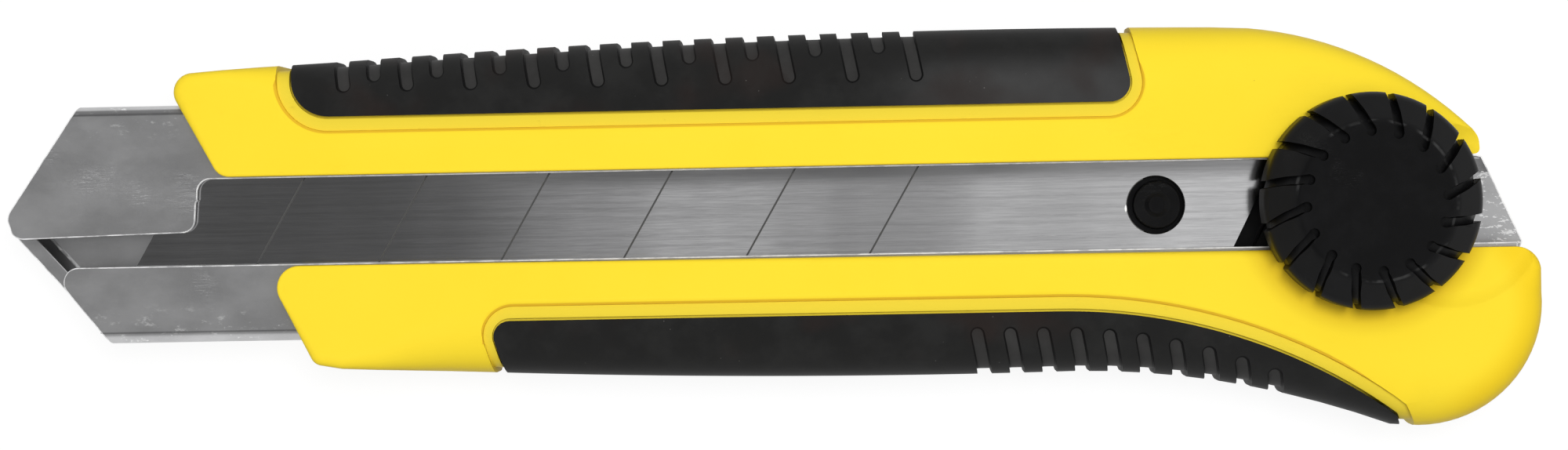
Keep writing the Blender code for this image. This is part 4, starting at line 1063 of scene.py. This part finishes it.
# --- steel guide ------------------------------------------------------------------------
def channel():
    """The C section of the guide, one sheet with four bends, carried along the knife."""
    r, s = GUIDE_BEND, SHEET
    bends = [(GUIDE_LOW + r, PLATE_BOTTOM + r, 180), (GUIDE_HALF - r, PLATE_BOTTOM + r, 270),
             (GUIDE_HALF - r, LIP_TOP - r, 0), (GUIDE_LOW + r, LIP_TOP - r, 90)]
    outside = [arc((y, z), r, turn, turn + 90, 10) for y, z, turn in bends]
    inner = [arc((y, z), r - s, turn + 90, turn, 6) for y, z, turn in bends]
    upper = [(TAB_LOW_Y - 0.4 * MM, LIP_TOP), (TAB_LOW_Y - 0.4 * MM, LIP_BOTTOM)]
    lower = [(-SLOT_HALF, LIP_BOTTOM), (-SLOT_HALF, LIP_TOP)]
    section = [*outside[0], *outside[1], *outside[2], *upper, *inner[2], *inner[1], *inner[0],
               *inner[3], *lower, *outside[3][:-1]]
    return loft("steel_guide", [[(x, y, z) for y, z in section]
                                for x in (NOSE_X - 3 * MM, KNOB_X + 30 * MM)])


def guide_plan():
    """Plan of all that is kept of the guide: nose, straight sides and trimmed tail."""
    slant = (NOSE_SPREAD - GUIDE_HALF) / math.tan(math.radians(57.4))
    return rounded([(NOSE_X + 8.1 * MM + slant, NOSE_SPREAD),
                    (NOSE_X - 0.4 * MM, 1.0 * MM, 1.6 * MM),
                    (NOSE_X + 0.45 * MM, -1.6 * MM, 1.0 * MM),
                    (CHIN_X, GUIDE_LOW), (CHIN_X + 2 * MM, -NOSE_SPREAD),
                    (TAIL_LOW - 4.0 * MM, -NOSE_SPREAD),
                    (TAIL_LOW + 0.4 * MM, -SLOT_HALF),
                    (TAIL_HIGH + 1.2 * MM, SLOT_HALF),
                    (TAIL_HIGH - 0.6 * MM, SLOT_HALF + 0.4 * MM),
                    (KNOB_X - 2.2 * MM, GUIDE_HALF),
                    (KNOB_X - 4.0 * MM, NOSE_SPREAD)])


def lip_cutters():
    """What is taken off the two lips only, above the blade's back."""
    low, high, end = PLATE_TOP + 1 * MM, LIP_TOP + PAST, KNOB_X + 50 * MM
    slot = rounded([(TAB_END_X + 0.1 * MM, -4 * MM), (end, -4 * MM),
                    (end, SLOT_HALF), (TAB_END_X + 0.5 * MM, SLOT_HALF, 1.5 * MM)])
    foot = -2.1 * MM
    chin = rounded([(NOSE_X - 10 * MM, foot),
                    (NOSE_X - 10 * MM, -NOSE_SPREAD - 10 * MM),
                    (CHIN_X, -NOSE_SPREAD), (CHIN_X, GUIDE_LOW),
                    (NOSE_X + 4.2 * MM, -SLOT_HALF, 1.7 * MM),
                    (NOSE_X + 12 * MM, -SLOT_HALF), (NOSE_X + 12 * MM, foot)])
    hem = rounded([(NOSE_X - 3 * MM, 2.0 * MM), (NOSE_X - 3 * MM, -4 * MM),
                   (TAB_END_X + 1 * MM, -4 * MM), (TAB_END_X + 1 * MM, 2.4 * MM),
                   (TAB_END_X + 0.25 * MM, 2.4 * MM), (TAB_END_X, TAB_Y, 1.5 * MM),
                   (NOSE_X + 0.1 * MM, TAB_LOW_Y, 1.8 * MM),
                   (NOSE_X - 0.45 * MM, 2.0 * MM)])
    tails = [[(x, y - 4 * MM), (x + 9 * MM, y - 4 * MM), (x + 9 * MM, y + 4 * MM),
              (x, y + 4 * MM)]
             for x, y in ((TAIL_LOW - 1.0 * MM, -SLOT_HALF - 2 * MM),
                          (TAIL_HIGH - 0.5 * MM, SLOT_HALF + 2 * MM))]
    return [prism("cutter", outline, low, high) for outline in (slot, chin, hem, *tails)]


def along_chin(name, profile):
    """A (distance in from the chin, z) profile carried along it, from before the nose."""
    start = Vector((NOSE_X + 1.5 * MM, -2.9 * MM))
    end = Vector((CHIN_X - 3.2 * MM, GUIDE_LOW + 3.4 * MM))
    along = (end - start).normalized()
    start = start - along * (2.2 * MM)
    across = Vector((-along.y, along.x))
    return loft(name, [[(*(point + across * d), z) for d, z in profile]
                       for point in (start, end)])


def chin_support():
    """The raised strip along the chin that carries the blade: a joggle in the back plate."""
    low = PLATE_BOTTOM
    high = BLADE_MIN.z - CLEAR - SHEET
    path = [(0.0, high), (1.3, high), (1.5, high - 0.12 * MM), (2.2, low + 0.12 * MM),
            (2.5, low), (4.6, low)]
    under = [(d * MM, z) for d, z in path]
    over = [((d + 0.3) * MM if 0 < d < 4.6 else d * MM, z + SHEET) for d, z in reversed(path)]
    return along_chin("support", under + over)


def whole_plan():
    return prism("plan", guide_plan(), PLATE_BOTTOM - PAST, LIP_TOP + PAST)


class KNIFE_OT_guide(bpy.types.Operator):
    """Folded steel guide: nose, two lips and the support for the blade's tip"""
    bl_idname = "knife.guide"
    bl_label = "Steel guide"

    def execute(self, context):
        guide = keep(channel(), whole_plan())
        cut(guide, *lip_cutters())
        gap = [(-4 * MM, PLATE_BOTTOM - PAST), (3.6 * MM, PLATE_BOTTOM - PAST),
               (3.6 * MM, PLATE_TOP + 0.5 * MM), (-4 * MM, PLATE_TOP + 0.5 * MM)]
        cut(guide, along_chin("gap", gap))
        add(guide, keep(chin_support(), whole_plan()))
        soften(tidy(guide, 2e-5), 0.15 * MM, 2, 40, mark="rim_highlight", clamp=False)
        dress(guide, finish_of(GUIDE_GREY), "handle", "blade_guide", angle=40)
        finish_solids(ZINC, "guide_rivet_1", "guide_rivet_2")
        return {"FINISHED"}


# --- blade and slider ---------------------------------------------------------------------
def leaning(x, y, degrees):
    """X on a line through x at the cutting edge that leans to the tail going up."""
    return x + (y - BLADE_MIN.y) / math.tan(math.radians(degrees))


def is_score_wall(face):
    return 0.2 < face.normal.z < 0.98 and abs(face.normal.x) > 0.3 \
        and face.center.x < BLADE_TAIL_X - 5 * MM


class KNIFE_OT_blade(bpy.types.Operator):
    """Ground blade with its snap-off lines, and the carrier whose pin holds it"""
    bl_idname = "knife.blade"
    bl_label = "Blade and carrier"

    def execute(self, context):
        sizes = context.scene.knife_sizes
        low, high, top = BLADE_MIN.y, BLADE_MAX.y, BLADE_MAX.z
        middle, half = (BLADE_MIN.z + top) / 2, (top - BLADE_MIN.z) / 2
        fine, grind = 0.03 * MM, 2.6 * MM
        rows = [(low, fine), (low + grind, half), (high, half)]
        section = [(y, middle - t) for y, t in rows]
        section += [(y, middle + t) for y, t in reversed(rows)]
        ends = ((BLADE_MIN.x, BLADE_LEAN), (BLADE_TAIL_X, BLADE_TAIL_LEAN))
        blade = loft("snap_blade", [[(leaning(x, y, lean), y, z) for y, z in section]
                                    for x, lean in ends])
        count = int((BLADE_TAIL_X - BLADE_MIN.x) / sizes.score_pitch) - 2
        for k in range(1, count + 1):
            x = BLADE_MIN.x + k * sizes.score_pitch - 0.17 * MM
            loops = []
            for y in (low - PAST, high + PAST):
                at = leaning(x, y, BLADE_LEAN)
                loops.append([(at, y, top - 0.16 * MM), (at + 0.2 * MM, y, top + 0.1 * MM),
                              (at - 0.2 * MM, y, top + 0.1 * MM)])
            cut(blade, loft("score", loops))
        r = BLADE_HOLE_R
        profile = [(0, BLADE_MIN.z - PAST), (r, BLADE_MIN.z - PAST), (r, top - 0.1 * MM),
                   (r + 0.3 * MM, top + 0.2 * MM), (0, top + 0.2 * MM)]
        cut(blade, spun("hole", profile, BLADE_HOLE, 72))
        mark_faces(tidy(blade), "score", is_score_wall)
        dress(blade, finish_of(BLADE_GREY), "slider", "blade", angle=12)
        carrier = soften(solid_copy("blade_carrier", "slide_carrier"), 0.14 * MM, 2, 25)
        dress(carrier, finish_of(KNOB_BLACK), "slider", "blade_carrier", angle=30)
        finish_solids(ZINC, "carrier_spring", "clamp_bolt")
        return {"FINISHED"}


# --- knob -------------------------------------------------------------------------------
def groove_tool(angle, sizes):
    """One groove: in at the disc, down the flank with a lean, and out through the skirt."""
    deep, disc, r, crown = sizes.groove_depth, DISC_R, KNOB_R, KNOB_MAX.z
    start = disc - 1.25 * MM
    floor = [(start, crown - deep), (disc - deep, crown - deep - 0.2 * MM),
             (disc + 0.6 * MM, crown - deep - 0.9 * MM),
             (r - 1.3 * MM, KNOB_SHOULDER - 0.9 * deep),
             (r - 0.65 * MM, KNOB_SHOULDER - 2 * deep), (r - 0.55 * MM, KNOB_MIN.z - PAST)]
    top = [(r + PAST, KNOB_MIN.z - PAST), (r + PAST, crown + PAST), (start, crown + PAST)]
    loops = []
    for side in (-0.5, 0.5):
        loop = []
        for radius, z in floor + top:
            out = max(0.0, (radius - disc + deep) / (r - disc + deep))
            lean = angle + math.radians(GROOVE_LEAN) * out
            shift = side * sizes.groove_width * (1 - 0.1 * out)
            loop.append((KNOB_X + radius * math.cos(lean) - shift * math.sin(angle),
                         radius * math.sin(lean) + shift * math.cos(angle), z))
        loops.append(loop)
    end = (KNOB_X + start * math.cos(angle), start * math.sin(angle))
    ring = arc(end, sizes.groove_width / 2, 0, 360, 24)[:-1]
    return loft("groove", loops), prism("end", ring, crown - deep, crown + PAST)


class KNIFE_OT_knob(bpy.types.Operator):
    """Locking knob with a flat disc, a sloped flank and grooves that lean round it"""
    bl_idname = "knife.knob"
    bl_label = "Locking knob"

    def execute(self, context):
        sizes = context.scene.knife_sizes
        r, disc, top, low = KNOB_R, DISC_R, KNOB_MAX.z, KNOB_MIN.z
        shoulder, inner = KNOB_SHOULDER, KNOB_R - 1.6 * MM
        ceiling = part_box("knob_nut")[0].z - CLEAR
        crown = [(disc + 0.35 * MM, top - 0.42 * MM), (disc, top - 0.14 * MM),
                 (disc - 0.35 * MM, top - 0.03 * MM), (disc - 0.7 * MM, top)]
        profile = [(0, ceiling), (inner, ceiling), (inner, low), (r - 0.45 * MM, low),
                   (r - 0.12 * MM, low + 0.12 * MM), (r, low + 0.45 * MM),
                   (r, shoulder - 0.9 * MM), (r - 0.08 * MM, shoulder - 0.5 * MM),
                   (r - 0.30 * MM, shoulder - 0.1 * MM), (r - 0.65 * MM, shoulder + 0.25 * MM),
                   *crown, (0, top)]
        knob = spun("lock_knob_cap", profile, (KNOB_X, 0.0), 128)
        turns = [GROOVE_PHASE + 360.0 * k / sizes.knob_grooves for k in range(sizes.knob_grooves)]
        tools, ends = zip(*(groove_tool(math.radians(turn), sizes) for turn in turns))
        cut(knob, join("grooves", tools), join("ends", ends))
        soften(tidy(knob), 0.17 * MM, 3, 38)
        dress(knob, finish_of(KNOB_BLACK), "knob", "lock_knob", angle=38)
        finish_solids(ZINC, "clamp_plate", "spring_washer")
        finish_solids(BRASS, "knob_nut")
        return {"FINISHED"}


# --- stage --------------------------------------------------------------------------------
def area_lamp(name, place, target, size, power):
    bpy.ops.object.select_all(action="DESELECT")
    bpy.ops.object.light_add(type="AREA", location=place)
    lamp = bpy.context.object
    lamp.name = name
    lamp.data.shape = "DISK"
    lamp.data.size = size
    lamp.data.energy = power
    lamp.visible_glossy = False
    aim = target - place
    lamp.rotation_euler = aim.to_track_quat("-Z", "Y").to_euler()


def seen_directly(graph):
    """1 for rays from the camera, a mirror or glass, which see a plain white studio."""
    total = graph.node("ShaderNodeLightPath", output="Is Camera Ray")
    for name in ("Is Glossy Ray", "Is Transmission Ray"):
        total = total.math("MAXIMUM", total, graph.node("ShaderNodeLightPath", output=name))
    return total


def blend_shaders(graph, amount, first, second, output):
    """Lead a mix of two shaders to the tree's output."""
    both = graph.node("ShaderNodeMixShader", None, {0: amount, 1: first, 2: second})
    graph.feed(graph.tree.nodes[output].inputs["Surface"], both)


def white_world():
    """Even light; a mirror sees white sides and a ceiling that is brighter over the tail."""
    world = bpy.data.worlds.new("studio")
    world.use_nodes = True
    graph = Graph(world.node_tree)
    dim = graph.tree.nodes["Background"]
    graph.feed(dim.inputs["Color"], WHITE)
    graph.feed(dim.inputs["Strength"], AMBIENT)
    way = graph.node("ShaderNodeTexCoord", output="Generated")
    across, up = (graph.node("ShaderNodeSeparateXYZ", None, {0: way}, name) for name in "XZ")
    panel = graph.tree.nodes.new("ShaderNodeValToRGB")
    for _ in range(len(CEILING) - 2):
        panel.color_ramp.elements.new(0.5)
    for stop, (place, value) in zip(panel.color_ramp.elements, CEILING):
        stop.position = (place + CEILING_REACH) / (2 * CEILING_REACH)
        stop.color = (value, value, value, 1)
    graph.feed(panel.inputs["Fac"],
               graph.node("ShaderNodeMapRange", None,
                          {"Value": across, "From Min": -CEILING_REACH,
                           "From Max": CEILING_REACH}))
    ceiling = graph.mix(up.over(*CEILING_EDGE), Wire(graph, panel.outputs["Color"]), WHITE)
    colour = graph.mix(graph.node("ShaderNodeLightPath", output="Is Camera Ray"), ceiling, WHITE)
    bright = graph.node("ShaderNodeBackground", None, {"Color": colour})
    blend_shaders(graph, seen_directly(graph), Wire(graph, dim.outputs[0]), bright,
                  "World Output")
    return world


def white_floor():
    """Pale matt floor, most of it shown as plain white, the rest lit so it keeps shadows."""
    f = Finish("studio_floor", FLOOR_BELOW, roughness=0.9)
    seen = seen_directly(f)
    f.coat(seen, FLOOR_SEEN)
    f.set(base_color=f.colour)
    glow = f.node("ShaderNodeEmission", None, {"Color": WHITE, "Strength": FLOOR_GLOW})
    blend_shaders(f, seen * FLOOR_SHARE, Wire(f, f.shader.outputs[0]), glow, "Material Output")
    return f.material


class KNIFE_OT_stage(bpy.types.Operator):
    """White floor and world, soft lamps and the camera above the knife"""
    bl_idname = "knife.stage"
    bl_label = "Stage"

    def execute(self, context):
        low, high = (Vector(corner) for corner in CAD_BOX)
        middle = (low + high) / 2
        bpy.ops.object.select_all(action="DESELECT")
        bpy.ops.mesh.primitive_plane_add(size=4.0, location=(middle.x, middle.y,
                                                             low.z - 0.1 * MM))
        floor = context.object
        floor.name = "floor"
        bpy.ops.object.transform_apply(location=True, rotation=True, scale=True)
        floor.data.materials.append(white_floor())
        context.scene.world = white_world()
        for name, place, size, power in LAMPS:
            area_lamp(name, middle + Vector(place), middle, size, power)

        camera = bpy.data.cameras.new("camera")
        camera.lens, camera.sensor_width = CAMERA_LENS, CAMERA_SENSOR
        camera.clip_start = 0.01
        seat = bpy.data.objects.new("camera", camera)
        context.scene.collection.objects.link(seat)
        aim = Matrix.Translation(CAMERA_PLACE)
        for axis, turn in CAMERA_TURNS:
            aim = aim @ Matrix.Rotation(math.radians(turn), 4, axis)
        seat.matrix_world = aim
        context.scene.camera = seat
        context.scene.view_settings.view_transform = "Standard"
        return {"FINISHED"}


OPERATORS = (KNIFE_OT_handle, KNIFE_OT_cover, KNIFE_OT_grips, KNIFE_OT_guide,
             KNIFE_OT_blade, KNIFE_OT_knob, KNIFE_OT_stage)


class KNIFE_PT_panel(bpy.types.Panel):
    """Builds the knife a piece at a time, from the sizes and colours above the buttons"""
    bl_idname = "KNIFE_PT_panel"
    bl_label = "Utility knife"
    bl_space_type = "VIEW_3D"
    bl_region_type = "UI"
    bl_category = "Knife"

    def draw(self, context):
        for group in (context.scene.knife_sizes, context.scene.knife_colours):
            column = self.layout.column(align=True)
            for name in group.__annotations__:
                column.prop(group, name)
        column = self.layout.column(align=True)
        for operator in OPERATORS:
            column.operator(operator.bl_idname)


CLASSES = (KnifeSizes, KnifeColours, *OPERATORS, KNIFE_PT_panel)


def register():
    for item in CLASSES:
        bpy.utils.register_class(item)
    bpy.types.Scene.knife_sizes = PointerProperty(type=KnifeSizes)
    bpy.types.Scene.knife_colours = PointerProperty(type=KnifeColours)


def unregister():
    del bpy.types.Scene.knife_colours
    del bpy.types.Scene.knife_sizes
    for item in reversed(CLASSES):
        bpy.utils.unregister_class(item)


def main():
    register()
    bpy.ops.knife.handle()
    bpy.ops.knife.cover()
    bpy.ops.knife.grips()
    bpy.ops.knife.guide()
    bpy.ops.knife.blade()
    bpy.ops.knife.knob()
    bpy.ops.knife.stage()


if __name__ == "__main__":
    main()
